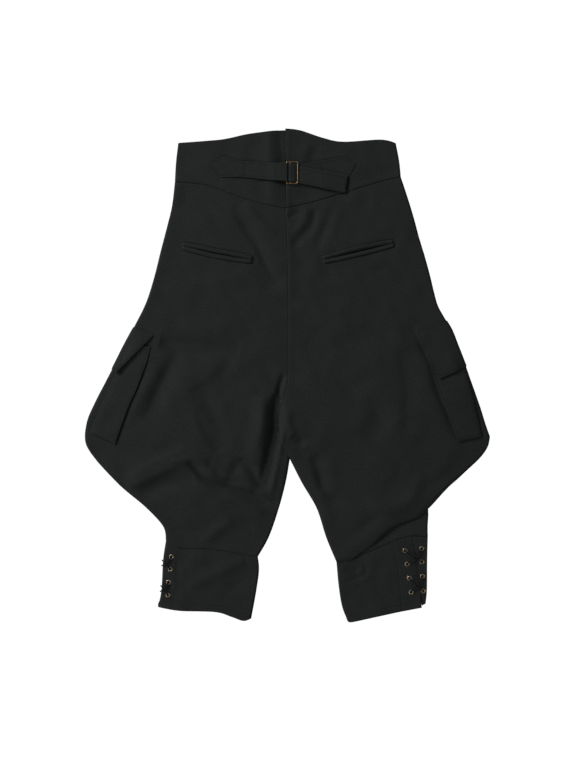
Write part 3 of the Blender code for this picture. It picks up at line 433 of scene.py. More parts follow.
WAVE_COUNT = 42
WAVE_LENGTHS = (28.0, 110.0)
WAVE_STEEPNESS = 0.0019
draw = np.random.default_rng(7)
WAVES = np.column_stack([
    np.exp(draw.uniform(*np.log(WAVE_LENGTHS), WAVE_COUNT)),
    draw.uniform(0, np.pi, WAVE_COUNT),
    draw.uniform(0, 2 * np.pi, WAVE_COUNT),
])


def ripple(x, y):
    """Slight unevenness of pressed wool: sines of many lengths and directions, long ones higher."""
    total = np.zeros_like(x)
    for length, turn, shift in WAVES:
        along = x * np.cos(turn) + y * np.sin(turn)
        total += length * WAVE_STEEPNESS * np.sin(2 * np.pi * along / length + shift)
    return total


print("folds:", len(FOLDS) + len(CUFF_FOLDS), "creases:", len(CREASES))

# %% [markdown]
# The upper face of the cloth. A seam is a sharp little valley, because the cloth turns down into it on
# both sides, and beside it the thread gathers the cloth into tiny puckers. The hems and the laced edge
# of the right cuff have a second layer underneath, which shows as a low step with a stitched groove.
# Whatever is sewn on presses a narrow ditch round itself. At the side seams the cloth rolls down to the
# floor in a quarter of an ellipse, and at the right knee it ends in a thick lip above the shin.

# %% Sizes of seams, facings and edges
DEEP_SEAM, SEAM, SLIGHT_SEAM = (2.1, 2.5), (1.5, 2.0), (0.8, 1.2)  # depth and half width
ALLOWANCE, ALLOWANCE_RISE = 9.0, 0.45  # the seam allowance that shows through on one side
PUCKER, PUCKER_REACH, PUCKER_LENGTH = 0.2, 13.0, 10.0
ROLL_LEAST, ROLL_SHARE, ROLL_START = 4.0, 0.8, 0.35
EDGE_LOW = 1.6  # the face at a rolled edge
LIP_LOW, LIP_REACH = 6.4, 30.0  # the face at the lip, and how far the lip lifts the edges beside it
LIP_FADE, LIP_FADE_END, LIP_FADE_WIDTH = 0.7, 150, 60  # lower towards the inseam, between these x
HEM_WIDTH, SLIT_WIDTH, STITCH_INSET = 12.0, 36.0, 1.3
FACING_RISE, GROOVE, GROOVE_HALF = 0.4, 0.8, 0.9
CALM_INNER, CALM_RADIUS = 5.0, 13.0  # round the eyelets, where the metal presses the cloth flat
# Eyelets: x, y down each column
EYELETS_LEFT = ((-206, -324), (-208, -346), (-211, -369), (-212, -392))
EYELETS_RIGHT = ((210, -313), (214, -337), (218, -362), (221, -387))
EYELETS_FRONT = ((240, -309), (240.5, -333), (241.3, -358.5), (243, -385))
# Welt pockets: the slit's path, and how far it gapes in the middle
WELTS = {
    "left": (((-186, 230), (-125, 216), (-62, 205)), 4.6),
    "right": (((64, 205), (125, 220), (190, 235)), 5.6),
}
WELT_WIDTH = 5.5
SLIT_DEPTH = 3.4
DITCH, DITCH_HALF = 1.1, 1.3
# The outlines of the two tabs of the cinch, where they are sewn down
TAB_OUTLINES = (
    ((-58, 379), (-86, 381), (-101, 385.5), (-114, 390), (-127, 381.5), (-134.5, 374.7), (-128, 365),
     (-118, 352), (-102, 352.5), (-58, 350.5)),
    ((68, 382), (86, 385.5), (101, 388), (113, 381), (122.5, 374), (116, 364), (110, 353), (92, 351)),
)
# Seams: path, depth, half width. Facings: path, width.
UPPER_SEAMS = (
    (dense(YOKE_SEAM_LEFT, 6), *DEEP_SEAM),
    (dense(YOKE_SEAM_RIGHT, 6), *DEEP_SEAM),
    (SEAT_SEAM, *SLIGHT_SEAM),
    (dense(column(YOKE_LEFT, 2)), *SLIGHT_SEAM),
    (dense(CUFF_SEAM_LEFT, 6), *SEAM),
)
CUFF_SEAMS = (
    (dense(CUFF_SEAM_LEFT, 6), *SEAM),
    (dense(CUFF_SEAM_RIGHT, 6), *SEAM),
)
CUFF_FACINGS = (
    (dense(HEM_LEFT), HEM_WIDTH),
    (dense(HEM_RIGHT), HEM_WIDTH),
    (dense(column(CUFF_RIGHT, 0)), SLIT_WIDTH),
)
print("seams:", len(UPPER_SEAMS) + len(CUFF_SEAMS), "facings:", len(CUFF_FACINGS))


# %% Seams, facings and ditches
def seam_height(x, y, seams):
    """A seam's valley, the ridge of the cloth turned in under one side, and puckers across it.

    The valley is a quarter of an ellipse each way from the seam. The puckers are a sine along the
    seam, made uneven by two slower sines, and their size falls off as exp(-distance / reach).
    """
    total = np.zeros_like(x)
    for path, depth, half in seams:
        signed, place = from_path(x, y, path)
        away = np.abs(signed)
        total -= depth * (1 - quarter(away, half))
        under = smooth_step(away / 2) * smooth_step((ALLOWANCE + 1.5 - away) / 3) * (signed > 0)
        total += ALLOWANCE_RISE * under
        turns = 2 * np.pi * place * np.linalg.norm(np.diff(path, axis=0), axis=1).sum() / PUCKER_LENGTH
        uneven = np.sin(turns + 2.3 * np.sin(turns * 0.31)) * (0.6 + 0.4 * np.sin(turns * 0.17))
        total += PUCKER * uneven * np.exp(-away / PUCKER_REACH) * smooth_step(away / 2.5)
    return total


def facing_height(x, y, facings):
    """A step over each second layer, and the groove of the stitches that hold it."""
    total = np.zeros_like(x)
    for path, width in facings:
        away = np.abs(from_path(x, y, path)[0])
        total += FACING_RISE * smooth_step((width - away) / 1.4)
        total -= GROOVE * np.exp(-((away - width + STITCH_INSET) / GROOVE_HALF) ** 2)
    return total


def sewn_on(x, y):
    """How far the face is pressed in: in the slits, and in narrow ditches round what is sewn on.

    A slit's depth falls off as exp(-(distance / half its opening) to the fourth power), so its floor
    is flat, and a ditch is a bell curve of the distance from the piece's outline.
    """
    total = np.zeros_like(x)
    for path, gape in WELTS.values():
        away, place = from_path(x, y, dense(path))
        away, gap = np.abs(away), gape / 2 * swell(place)
        total += SLIT_DEPTH * smooth_step(gap / 1.2) * np.exp(-(away / (gap + 0.6)) ** 4)
        total += DITCH * np.exp(-((away - gap - WELT_WIDTH - 0.5) / DITCH_HALF) ** 2)
    for path in TAB_OUTLINES:
        away = from_path(x, y, np.array(path, float))[0]
        total = np.maximum(total, DITCH * np.exp(-(away / DITCH_HALF) ** 2))
    return total


def calm(x, y):
    """0 at the eyelets and 1 away from them."""
    share = np.ones_like(x)
    for places in (EYELETS_LEFT, EYELETS_RIGHT):
        away = np.abs(from_path(x, y, np.array(places, float))[0])
        share = np.minimum(share, smooth_step((away - CALM_INNER) / (CALM_RADIUS - CALM_INNER)))
    return share


def rolled(height, low, away):
    """Quarter of an ellipse from the low end at an edge up to the full height."""
    reach = np.maximum(ROLL_LEAST, ROLL_SHARE * height)
    return low + (height - low) * quarter(away - ROLL_START, reach)


# %% The face of the back
def face_height(x, y, edges, swollen=True, lip=False, pressed=True):
    """Upper face of the back: plain height, swellings, folds, ripple and seams, rolled at its edges.

    Yokes and legs are swollen; cuffs and shin are not, and lie calm round their eyelets. A leg that ends
    in the lip has a higher edge there. What is sewn onto the leg is not pressed in with it.
    """
    height = fold_height(x, y, CREASES) + ripple(x, y)
    if swollen:
        height = add_swellings(height, x, y)
        height += fold_height(x, y, FOLDS)
        if pressed:
            height += fold_height(x, y, PRESSED)
        height = np.maximum(PLAIN_HEIGHT + height, LEAST_HEIGHT)
        height -= sewn_on(x, y)
        height += seam_height(x, y, UPPER_SEAMS)
    else:
        height = (height + fold_height(x, y, CUFF_FOLDS)) * calm(x, y)
        height = np.maximum(PLAIN_HEIGHT + height, LEAST_HEIGHT)
        height += seam_height(x, y, CUFF_SEAMS) + facing_height(x, y, CUFF_FACINGS)
    height = np.maximum(height, LOWEST)
    low = np.full_like(x, EDGE_LOW)
    top = height.copy()
    if lip:
        to_lip = np.abs(from_path(x, y, LIP_PATH)[0])
        lip_low = LIP_LOW - LIP_FADE * smooth_step((LIP_FADE_END - x) / LIP_FADE_WIDTH)
        low += (lip_low - EDGE_LOW) * smooth_step(1 - to_lip / LIP_REACH)
        top = np.minimum(top, rolled(height, lip_low, to_lip))
    for edge in edges:
        top = np.minimum(top, rolled(height, low, np.abs(from_path(x, y, edge)[0])))
    return top


LEFT_EDGES, RIGHT_EDGES = (SIDE_LEFT, INSEAM_LEFT), (SIDE_RIGHT, INSEAM_RIGHT)


def on_face(points):
    """Points x, y of the left or right half, raised onto the face."""
    x, y = points[..., 0], points[..., 1]
    edges = LEFT_EDGES if x.mean() < 0 else RIGHT_EDGES
    return np.concatenate([points, face_height(x, y, edges, pressed=False)[..., None]], axis=-1)


middle_back = np.array([[60.0, 120.0]])
print("face over the right thigh, mm:", np.round(on_face(middle_back)[0, 2], 2))

# %% [markdown]
# From a table to a grid of points. Every panel is a surface of two parameters: one runs down the
# sections and one across them. Columns and rows crowd together near edges and seams, where the cloth
# turns sharply, and spread out in between.

# %% Grids
# Distances from an edge, in millimetres, at which a row or a column of points lies
NEAR_EDGE = (0, 0.3, 0.7, 1.2, 1.8, 2.5, 3.3, 4.3, 5.6, 7.2, 9.2, 11.6)
NEAR_SEAM = (0, 0.3, 0.7, 1.2, 1.8, 2.6, 3.8, 5.4, 7.4, 9.2, 10.0, 10.7, 11.4, 12.2, 13.4)
NEAR_TRIM = (0, 0.25, 0.6, 1.0, 1.6, 2.3, 2.9, 3.4, 3.9, 4.5, 5.5, 7.2, 9.6)
NEAR_SLIT = (0, 0.6, 1.4, 2.6, 4.4, 7, 10, 16, 24, 31, 33, 34, 34.7, 35.3, 36, 37.2)


def columns_across(width, near_first, near_last, middle):
    """Fractions across each section: at set distances from both ends, and even in between."""
    first = np.asarray(near_first)[None, :] / width[:, None]
    last = 1 - np.asarray(near_last)[None, ::-1] / width[:, None]
    even = np.linspace(0, 1, middle + 2)[None, 1:-1]
    between = first[:, -1:] * (1 - even) + last[:, :1] * even
    return np.hstack([first, between, last])


def bow(points, u, nearness, ends, curve):
    """Moves the sections near one end onto a curved seam, by the fourth power of how near they are."""
    line = dense(curve, 8)
    (x0, y0), (x1, y1) = ends
    chord_x, chord_y = x0 + (x1 - x0) * u, y0 + (y1 - y0) * u
    points[..., 1] += (np.interp(chord_x, line[:, 0], line[:, 1]) - chord_y) * nearness[:, None] ** 4


def section_grid(rows, length, middle_rows, across, first_curve=None, last_curve=None, corner=None,
                 near_rows=NEAR_SEAM, start=0.0, stop=0.0, finer=()):
    """Points x, y of a panel, section by section: each runs straight from its side to its inner end.

    The panel is about length long and has middle_rows between the rows near its two ends; across names
    the distances near both ends of a section and the count between them. The first row begins at the
    distance start and the last ends at stop, to leave room for a turned hem. The curves bow the two ends.
    finer sets the rows between two shares of the way, as (from, to, count).
    """
    near = np.asarray(near_rows)
    first, last = (near + start) / length, 1 - (near[::-1] + stop) / length
    middle = np.linspace(first[-1], last[0], middle_rows + 2)[1:-1]
    if finer:
        outside = middle[(middle < finer[0]) | (middle > finer[1])]
        middle = np.sort(np.concatenate([outside, np.linspace(*finer)]))
    t = np.concatenate([first, middle, last])
    ends = spline(rows, t * (len(rows) - 1), corner)
    width = np.hypot(ends[:, 2] - ends[:, 0], ends[:, 3] - ends[:, 1])
    u = columns_across(width, *across)
    points = ends[:, None, :2] * (1 - u[..., None]) + ends[:, None, 2:] * u[..., None]
    if first_curve is not None:
        bow(points, u, 1 - t, (rows[0][:2], rows[0][2:4]), first_curve)
    if last_curve is not None:
        bow(points, u, t, (rows[-1][:2], rows[-1][2:4]), last_curve)
    return points


def pull_back(points, first_row=0.0, last_row=0.0, last_column=0.0):
    """Each named edge is moved inwards by its own distance."""
    if first_row:
        points[0] += unit(points[1] - points[0]) * first_row
    if last_row:
        points[-1] += unit(points[-2] - points[-1]) * last_row
    if last_column:
        points[:, -1] += unit(points[:, -2] - points[:, -1]) * last_column
    return points


def with_height(points, height):
    """Points x, y with their heights as z."""
    return np.dstack([points, height])


def normals(surface):
    """Unit normals of a grid, from the cross product of its two directions, turned upwards."""
    normal = unit(np.cross(np.gradient(surface, axis=0), np.gradient(surface, axis=1)))
    return normal * np.sign(normal[..., 2:].sum())


def flat_map(surface):
    """The grid laid out flat: each step across keeps its real length, outwards from the middle column."""
    step = np.diff(surface, axis=1)
    plan = np.linalg.norm(step[..., :2], axis=-1)
    real = np.linalg.norm(step, axis=-1)
    stretched = step[..., :2] * (real / np.maximum(plan, 1e-6))[..., None]
    walked = np.concatenate([np.zeros_like(surface[:, :1, :2]), np.cumsum(stretched, axis=1)], axis=1)
    middle = surface.shape[1] // 2
    return walked - walked[:, middle:middle + 1] + surface[:, middle:middle + 1, :2]


# %% [markdown]
# Finishes. Each is a Principled shader whose colour and bumps come from textures. Cloth and cord read
# the piece's own flat map, so a pattern follows the thread; thread and metal read the object's
# coordinates. Three helpers keep each recipe short.

# %% Helpers for finishes
def node_material(name, colour, roughness, metallic=0.0):
    """A material with its plain values; its node tree and shader are given back for more."""
    made = bpy.data.materials.new(name)
    made.use_nodes = True
    tree = made.node_tree
    shader = tree.nodes["Principled BSDF"]
    shader.inputs["Base Color"].default_value = (*colour, 1)
    shader.inputs["Roughness"].default_value = roughness
    shader.inputs["Metallic"].default_value = metallic
    made.diffuse_color = (*colour, 1)
    return made, tree, shader


def add_node(tree, kind, values=(), **settings):
    """A node with its settings and the values of its sockets."""
    made = tree.nodes.new(kind)
    for key, value in settings.items():
        setattr(made, key, value)
    for socket, value in dict(values).items():
        made.inputs[socket].default_value = value
    return made


def two_colours(tree, factor, dark, light, low=0.35, high=0.65):
    """A colour between dark and light, by a factor from 0 to 1."""
    ramp = add_node(tree, "ShaderNodeValToRGB")
    ramp.color_ramp.elements[0].position, ramp.color_ramp.elements[0].color = low, (*dark, 1)
    ramp.color_ramp.elements[1].position, ramp.color_ramp.elements[1].color = high, (*light, 1)
    tree.links.new(factor, ramp.inputs["Fac"])
    return ramp.outputs["Color"]


def add_bumps(tree, shader, bumps):
    """A chain of bumps: each is a height socket, its strength and its depth in metres."""
    before = None
    for height, strength, depth in bumps:
        bump = add_node(tree, "ShaderNodeBump", {"Strength": strength, "Distance": depth})
        tree.links.new(height, bump.inputs["Height"])
        if before is not None:
            tree.links.new(before, bump.inputs["Normal"])
        before = bump.outputs["Normal"]
    tree.links.new(before, shader.inputs["Normal"])


MM_SCALE = (1000, 1000, 1000)  # from metres to millimetres, for patterns that are sized in millimetres
WAVE_MM = 2 * np.pi / 10  # the scale of a Wave texture whose bands lie 1 mm apart


def flat_millimetres(tree, turn=0.0):
    """The piece's flat map in millimetres, turned by an angle."""
    place = add_node(tree, "ShaderNodeUVMap", uv_map="flat")
    mapping = add_node(tree, "ShaderNodeMapping", {"Scale": MM_SCALE, "Rotation": (0, 0, turn)})
    tree.links.new(place.outputs["UV"], mapping.inputs["Vector"])
    return mapping.outputs["Vector"]


def texture(tree, kind, vector, values, **settings):
    """A texture read at a vector."""
    made = add_node(tree, "ShaderNodeTex" + kind, values, **settings)
    tree.links.new(vector, made.inputs["Vector"])
    return made.outputs["Fac"]


def combined(tree, operation, first, second, factor=None):
    """Two values in one: their maximum, or the first times a factor plus the second."""
    made = add_node(tree, "ShaderNodeMath", operation=operation)
    tree.links.new(first, made.inputs[0])
    if factor is None:
        tree.links.new(second, made.inputs[1])
    else:
        made.inputs[1].default_value = factor
        tree.links.new(second, made.inputs[2])
    return made.outputs[0]


# %% [markdown]
# Black wool. The cloth is a fulled twill: fine diagonal ribs under a short nap that catches light at
# grazing angles, so rolled edges look paler than the flat of the panels. The colour is a very dark
# neutral grey with a hint of green. In the photograph it is broken up by flecks two or three
# millimetres across, where the nap lies this way and that, over a slow mottling.

# %% Wool
RIB_MM = 0.9
YARN_MM = 0.55 * RIB_MM
CLOTH_DARK, CLOTH_LIGHT = (0.0086, 0.0098, 0.0093), (0.0144, 0.0163, 0.0154)
FLECK_SHARE, MOTTLE_SHARE = 0.82, 0.18


def wool():
    """Twill ribs at 45 degrees, yarns square to them, a fine nap, and flecks over a slow mottling."""
    made, tree, shader = node_material("black_wool", CLOTH_LIGHT, 0.86)
    shader.inputs["Specular IOR Level"].default_value = 0.12
    shader.inputs["Sheen Weight"].default_value = 0.035
    shader.inputs["Sheen Roughness"].default_value = 0.45
    flat = flat_millimetres(tree)
    ribs = texture(tree, "Wave", flat, {"Scale": WAVE_MM / RIB_MM, "Distortion": 0.6, "Detail": 1.0,
                                        "Detail Scale": 2.0}, bands_direction="DIAGONAL")
    yarns = texture(tree, "Wave", flat_millimetres(tree, np.pi / 2),
                    {"Scale": WAVE_MM / YARN_MM, "Distortion": 0.4, "Detail": 1.0},
                    bands_direction="DIAGONAL")
    weave = combined(tree, "MULTIPLY_ADD", yarns, ribs, 0.35)
    nap = texture(tree, "Noise", flat, {"Scale": 2.2, "Detail": 5.0, "Roughness": 0.65})
    fleck = texture(tree, "Noise", flat, {"Scale": 0.36, "Detail": 2.0, "Roughness": 0.6})
    mottle = texture(tree, "Noise", flat, {"Scale": 0.045, "Detail": 6.0, "Roughness": 0.6})
    slow = add_node(tree, "ShaderNodeMath", {1: MOTTLE_SHARE}, operation="MULTIPLY")
    tree.links.new(mottle, slow.inputs[0])
    tone = combined(tree, "MULTIPLY_ADD", fleck, slow.outputs[0], FLECK_SHARE)
    colour = two_colours(tree, tone, CLOTH_DARK, CLOTH_LIGHT, 0.36, 0.64)
    tree.links.new(colour, shader.inputs["Base Color"])
    add_bumps(tree, shader, ((weave, 0.35, 0.00012), (nap, 0.4, 0.00018)))
    return made


WOOL = wool()
print("cloth:", WOOL.name, "ribs a millimetre:", round(1 / RIB_MM, 2))

# %% [markdown]
# Thread, cord and metal. The sewing is black twisted thread. The laces are a tight black braid, whose
# strands cross round the cord. Buckle and eyelets are brass that has gone brown in clouds, with bright
# worn parts between them.

# %% Thread, cord and metal
NEAR_BLACK = (0.006, 0.006, 0.0065)
BRAID_MM = 1.1


def thread():
    """Twisted sewing thread, blacker than the wool, with a fine uneven twist."""
    made, tree, shader = node_material("black_thread", NEAR_BLACK, 0.9)
    shader.inputs["Specular IOR Level"].default_value = 0.1
    place = add_node(tree, "ShaderNodeTexCoord")
    twist = texture(tree, "Noise", place.outputs["Object"], {"Scale": 4000.0, "Detail": 2.0})
    colour = two_colours(tree, twist, (0.004, 0.004, 0.0045), (0.009, 0.009, 0.0095))
    tree.links.new(colour, shader.inputs["Base Color"])
    add_bumps(tree, shader, ((twist, 0.4, 0.0001),))
    return made


def cord_finish():
    """Braided cord: two sets of strands cross round it, as waves on the cord's own coordinates; painted shade
    darkens the grooves between them.
    """
    made, tree, shader = node_material("lace_cord", NEAR_BLACK, 0.85)
    shader.inputs["Specular IOR Level"].default_value = 0.1
    strands = [texture(tree, "Wave", flat_millimetres(tree, turn), {"Scale": WAVE_MM / BRAID_MM},
                       bands_direction="DIAGONAL") for turn in (0.0, np.pi / 2)]
    braid = combined(tree, "MAXIMUM", *strands)
    # The colour follows the strands' relief: it is darker in the grooves between them, which is painted
    # shade.
    colour = two_colours(tree, braid, (0.003, 0.003, 0.0035), (0.010, 0.010, 0.0105), 0.2, 0.9)
    tree.links.new(colour, shader.inputs["Base Color"])
    add_bumps(tree, shader, ((braid, 0.6, 0.0002),))
    return made


def old_metal(name, worn, tarnished, roughness):
    """Metal with cloudy tarnish and fine scratches."""
    made, tree, shader = node_material(name, worn, roughness, 1.0)
    place = add_node(tree, "ShaderNodeTexCoord").outputs["Object"]
    clouds = texture(tree, "Noise", place, {"Scale": 260.0, "Detail": 5.0, "Roughness": 0.7})
    grain = texture(tree, "Noise", place, {"Scale": 2600.0, "Detail": 3.0})
    tree.links.new(two_colours(tree, clouds, tarnished, worn), shader.inputs["Base Color"])
    add_bumps(tree, shader, ((grain, 0.25, 0.00006),))
    return made


THREAD, LACE_CORD = thread(), cord_finish()
BUCKLE_BRASS = old_metal("antique_brass", (0.50, 0.34, 0.17), (0.20, 0.13, 0.07), 0.34)
EYELET_METAL = old_metal("eyelet_metal", (0.52, 0.43, 0.32), (0.24, 0.19, 0.13), 0.32)
print("finishes:", [made.name for made in (THREAD, LACE_CORD, BUCKLE_BRASS, EYELET_METAL)])

# %% [markdown]
# From a grid to a piece. The grid of points becomes a mesh with a flat map as its UV coordinates, and
# Solidify gives it the cloth's thickness inwards. Each piece says which solid it stands for, which body it
# rides on, and, since it is cloth, how large its flat cut is.

# %% Making a piece
THIN = 1.0  # thickness of a single layer, so that turned hems lie inside the solids' height
ALLOWANCE_LEAST = 0.2  # how low a turned hem may come
HEM_RADIUS = 1.05  # of the fold in a turned hem
TUCK, TUCK_DROP = 5.0, 1.3  # the seam allowance that lies under the next panel
LEVEL = (1, 1, 0)  # a direction times this is level
SHEETS = {}


def new_mesh(name, co, faces, flat=None):
    """A smooth mesh from points in millimetres, quads, and a flat map if it has one."""
    mesh = bpy.data.meshes.new(name)
    mesh.from_pydata((co * MM).tolist(), [], faces.tolist())
    mesh.shade_smooth()
    if flat is not None:
        layer = mesh.uv_layers.new(name="flat")
        layer.data.foreach_set("uv", (flat[faces.ravel()] * MM).ravel())
    return mesh


def ring_quads(index, there):
    """Quads between rings of points, given by number, and the rings that follow them."""
    quads = np.stack([index, np.roll(index, -1, -1), np.roll(there, -1, -1), there], -1)
    return quads.reshape(-1, 4)


def piece(name, grids, finish, node_names=(), wall=0.0, centred=False, down=False):
    """One mesh from one or more grids; faces look up, or down where asked, and thickness goes inwards."""
    co, faces, flats, count = [], [], [], 0
    for grid in grids:
        rows, cols = grid.shape[:2]
        index = np.arange(rows * cols).reshape(rows, cols) + count
        quads = np.stack([index[:-1, :-1], index[1:, :-1], index[1:, 1:], index[:-1, 1:]], -1).reshape(-1, 4)
        facing = np.cross(grid[1:, :-1] - grid[:-1, :-1], grid[:-1, 1:] - grid[:-1, :-1])[..., 2].sum()
        if (facing < 0) != down:
            quads = quads[:, ::-1]
        co.append(grid.reshape(-1, 3))
        faces.append(quads)
        flats.append(flat_map(grid).reshape(-1, 2))
        count += rows * cols
    mesh = new_mesh(name, np.vstack(co), np.vstack(faces), np.vstack(flats))
    return finish_piece(name, mesh, finish, node_names, wall, centred)


def finish_piece(name, mesh, finish, node_names, wall=0.0, centred=False):
    """The mesh as an object with its finish and its wall, which rides on the garment's one body."""
    mesh.materials.append(finish)
    made = bpy.data.objects.new(name, mesh)
    bpy.context.scene.collection.objects.link(made)
    if wall:
        shell = made.modifiers.new("wall", "SOLIDIFY")
        shell.thickness = wall * MM
        shell.offset = 0 if centred else -1
    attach(made, "root")
    if node_names:
        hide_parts(*node_names)
    return made


def as_sheet(made, grids, strip=False):
    """Records the width, length and area of the flat cut of a piece of cloth in SHEETS.

    The flat map gives all three. A strip that lies askew or wraps is measured along its own edges.
    """
    area, corners = 0.0, []
    for grid in grids:
        flat = flat_map(grid)
        one, two = flat[1:, 1:] - flat[:-1, :-1], flat[:-1, 1:] - flat[1:, :-1]
        area += np.abs(one[..., 0] * two[..., 1] - one[..., 1] * two[..., 0]).sum() / 2
        corners += [flat.min((0, 1)), flat.max((0, 1))]
    size = np.max(corners, 0) - np.min(corners, 0)
    if strip:
        across, along = (np.linalg.norm(np.diff(grids[0], axis=axis), axis=-1).sum(axis) for axis in (1, 0))
        size = np.array([across.max(), along.max()])
    area = min(area, size[0] * size[1])
    SHEETS[made.name] = (round(size[0]), round(size[1]), round(area / 100))


def turned_edge(grid, down=False):
    """A folded hem: past the last row, half a circle round, then back inside under the grid's own rows.

    The row at each angle is the edge, plus the radius times its sine outwards, less the radius times
    (1 less its cosine) along the normal.
    """
    edge = grid[-1]
    out = unit(grid[-1] - grid[-3])
    normal = normals(grid)[-2] * (-1 if down else 1)
    rows = []
    for angle in np.radians(np.linspace(22.5, 180, 8)):
        rows.append(edge + out * HEM_RADIUS * np.sin(angle) - normal * HEM_RADIUS * (1 - np.cos(angle)))
    for row in (2, 4, 6, 8, 9, 10):
        rows.append(grid[-row] - normal * 2 * HEM_RADIUS)
    rows = np.stack(rows)
    rows[..., 2] = np.maximum(rows[..., 2], ALLOWANCE_LEAST)
    return np.concatenate([grid, rows])


def tucked(grid, edge):
    """A seam allowance: two more rows past one edge, lower than it, so that no light comes through."""
    if edge == "last_column":
        return tucked(grid.swapaxes(0, 1)[::-1], "first_row")[::-1].swapaxes(0, 1)
    out = unit((grid[0] - grid[2]) * LEVEL)
    rows = np.stack([grid[0] + out * TUCK, grid[0] + out * 0.4])
    rows[..., 2] = np.maximum(rows[..., 2] - TUCK_DROP, ALLOWANCE_LEAST + THIN)
    return np.concatenate([rows, grid])


def steps_down(edge, inward, steps):
    """Rows past an edge, each so far in under it and so far below it; the steps give both."""
    return [edge + inward * away - np.array([0, 0, drop]) for away, drop in steps]


def box_gap(name, node):
    """How far the piece's box reaches past its node's box, in millimetres."""
    low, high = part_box(node)
    co = np.array([vertex.co for vertex in bpy.data.objects[name].data.vertices])
    past = np.maximum(np.array(low) - co.min(0), co.max(0) - np.array(high)).max() / MM
    return round(float(past), 2)


# %% [markdown]
# The back panels: two yoke halves and two legs. The right leg hangs over its own shin in a thick soft
# lip, so its cloth is carried on round the lip and a little way back underneath.

# %% Back panels
HALF_GAP = 0.05  # the finished cloth meets at its seams
LEG_COLUMNS = (NEAR_EDGE, NEAR_SEAM[:10], 84)
YOKE_COLUMNS = (NEAR_EDGE, NEAR_SEAM[:10], 130)
SHIN_COLUMNS = (NEAR_EDGE[:9], NEAR_SEAM[:7], 44)
PANELS = {}


def back_panel(name, points, edges, rests_on, turn=None, tucks=(), **options):
    """A panel of the back on its face.

    turn names the row that is folded under, first or last, and tucks the edges with a seam allowance
    that lies under the next panel.
    """
    grid = with_height(points, face_height(points[..., 0], points[..., 1], edges, **options))
    PANELS[name] = grid
    for edge in tucks:
        grid = tucked(grid, edge)
    if turn == "first":
        grid = turned_edge(grid[::-1])[::-1]
    elif turn == "last":
        grid = turned_edge(grid)
    made = piece(name + "_cloth", (grid,), WOOL, (name,), wall=THIN)
    as_sheet(made, (grid,))
    print(name, "points:", grid.shape[:2], "past its solid, mm:", box_gap(made.name, name))
    return made


points = section_grid(YOKE_LEFT, 110, 64, YOKE_COLUMNS, WAIST_LEFT, YOKE_SEAM_LEFT, start=HEM_RADIUS)
points = pull_back(points, 0, HALF_GAP, HALF_GAP)
back_panel("back_yoke_left", points, LEFT_EDGES, ["front_yoke_left"], "first", ["last_column"])
points = section_grid(YOKE_RIGHT, 110, 64, YOKE_COLUMNS, WAIST_RIGHT, YOKE_SEAM_RIGHT, start=HEM_RADIUS)
points = pull_back(points, 0, HALF_GAP, HALF_GAP)
back_panel("back_yoke_right", points, RIGHT_EDGES, ["front_yoke_right"], "first")
points = section_grid(LEG_LEFT, 640, 205, LEG_COLUMNS, YOKE_SEAM_LEFT, CUFF_SEAM_LEFT, NOTCH,
                      finer=(0.105, 0.18, 56))
back_panel("back_left", pull_back(points, HALF_GAP, HALF_GAP, HALF_GAP), LEFT_EDGES, ["front_left"],
           tucks=["first_row"])
points = section_grid(THIGH_RIGHT, 460, 180, LEG_COLUMNS, YOKE_SEAM_RIGHT, LIP + WING_UNDER[1:], NOTCH,
                      finer=(0.135, 0.235, 56))
back_panel("back_right", pull_back(points, HALF_GAP, 0, HALF_GAP), RIGHT_EDGES,
           ["front_right", "back_shin_right"], tucks=["first_row"], lip=True)

# %% [markdown]
# Cloth that lies under the back legs. Under the seat seam lies its allowance, a strip pressed open to
# both sides. Under the lip of the right thigh lies the shin, and past the lip the thigh's cloth turns
# under and lies on the shin.

# %% Allowance, right shin and turned cloth
ALLOWANCE_ROWS, ALLOWANCE_REACH, ALLOWANCE_DROP = 90, (-5, -2.5, 0, 2.5, 5), 1.2
LIP_END = 4  # how far before the lip's outer end the turned cloth stops
# Columns: how far in under the lip, how far below it
LIP_STEPS = ((0.3, 0.35), (0.9, 0.65), (2.0, 0.85), (4.0, 0.9), (8.0, 0.85), (14.0, 0.8))


def seat_allowance():
    """A strip along the seat seam: each row runs square to the seam, a little below the face."""
    line = SEAT_SEAM[np.linspace(0, len(SEAT_SEAM) - 1, ALLOWANCE_ROWS).astype(int)]
    way = unit(np.gradient(line, axis=0))
    aside = np.column_stack([-way[:, 1], way[:, 0]])
    points = np.stack([line + aside * away for away in ALLOWANCE_REACH], 1)
    level = face_height(line[:, 0], line[:, 1], ())[:, None] - ALLOWANCE_DROP
    return with_height(points, level + np.zeros(len(ALLOWANCE_REACH)))


def lip_turn(grid):
    """The cloth past the lip: each row lies further in under the last one and a little lower."""
    edge = grid[-1]
    edge = edge[edge[:, 0] < LIP[-1][0] - LIP_END]
    way = np.gradient(edge, axis=0)
    inward = unit(np.column_stack([way[:, 1], -way[:, 0], np.zeros(len(edge))]))
    inward *= np.sign(inward[:, 1:2])
    return np.stack([edge] + steps_down(edge, inward, LIP_STEPS))


allowance = seat_allowance()
made = piece("seat_seam_allowance", (allowance,), WOOL, wall=THIN)
as_sheet(made, (allowance,), strip=True)
points = section_grid(SHIN_RIGHT, 56, 14, SHIN_COLUMNS, SHIN_TOP, CUFF_SEAM_RIGHT)
back_panel("back_shin_right", pull_back(points, 0, HALF_GAP), (SHIN_SIDE, SHIN_INSEAM), ["front_right"],
           swollen=False)
lip_under = lip_turn(PANELS["back_right"])
made = piece("thigh_turned_under", (lip_under,), WOOL, wall=THIN, down=True)
as_sheet(made, (lip_under,), strip=True)
print("allowance and turned cloth, mm:", SHEETS["seat_seam_allowance"], SHEETS["thigh_turned_under"])

# %% [markdown]
# The cuffs. The left one is a flat band with its lacing at the outer edge. On the right leg the front
# cuff wraps round the side and meets the back cuff at the laced slit, with a small stay of cloth behind
# the top of the slit. The hems are turned under once.

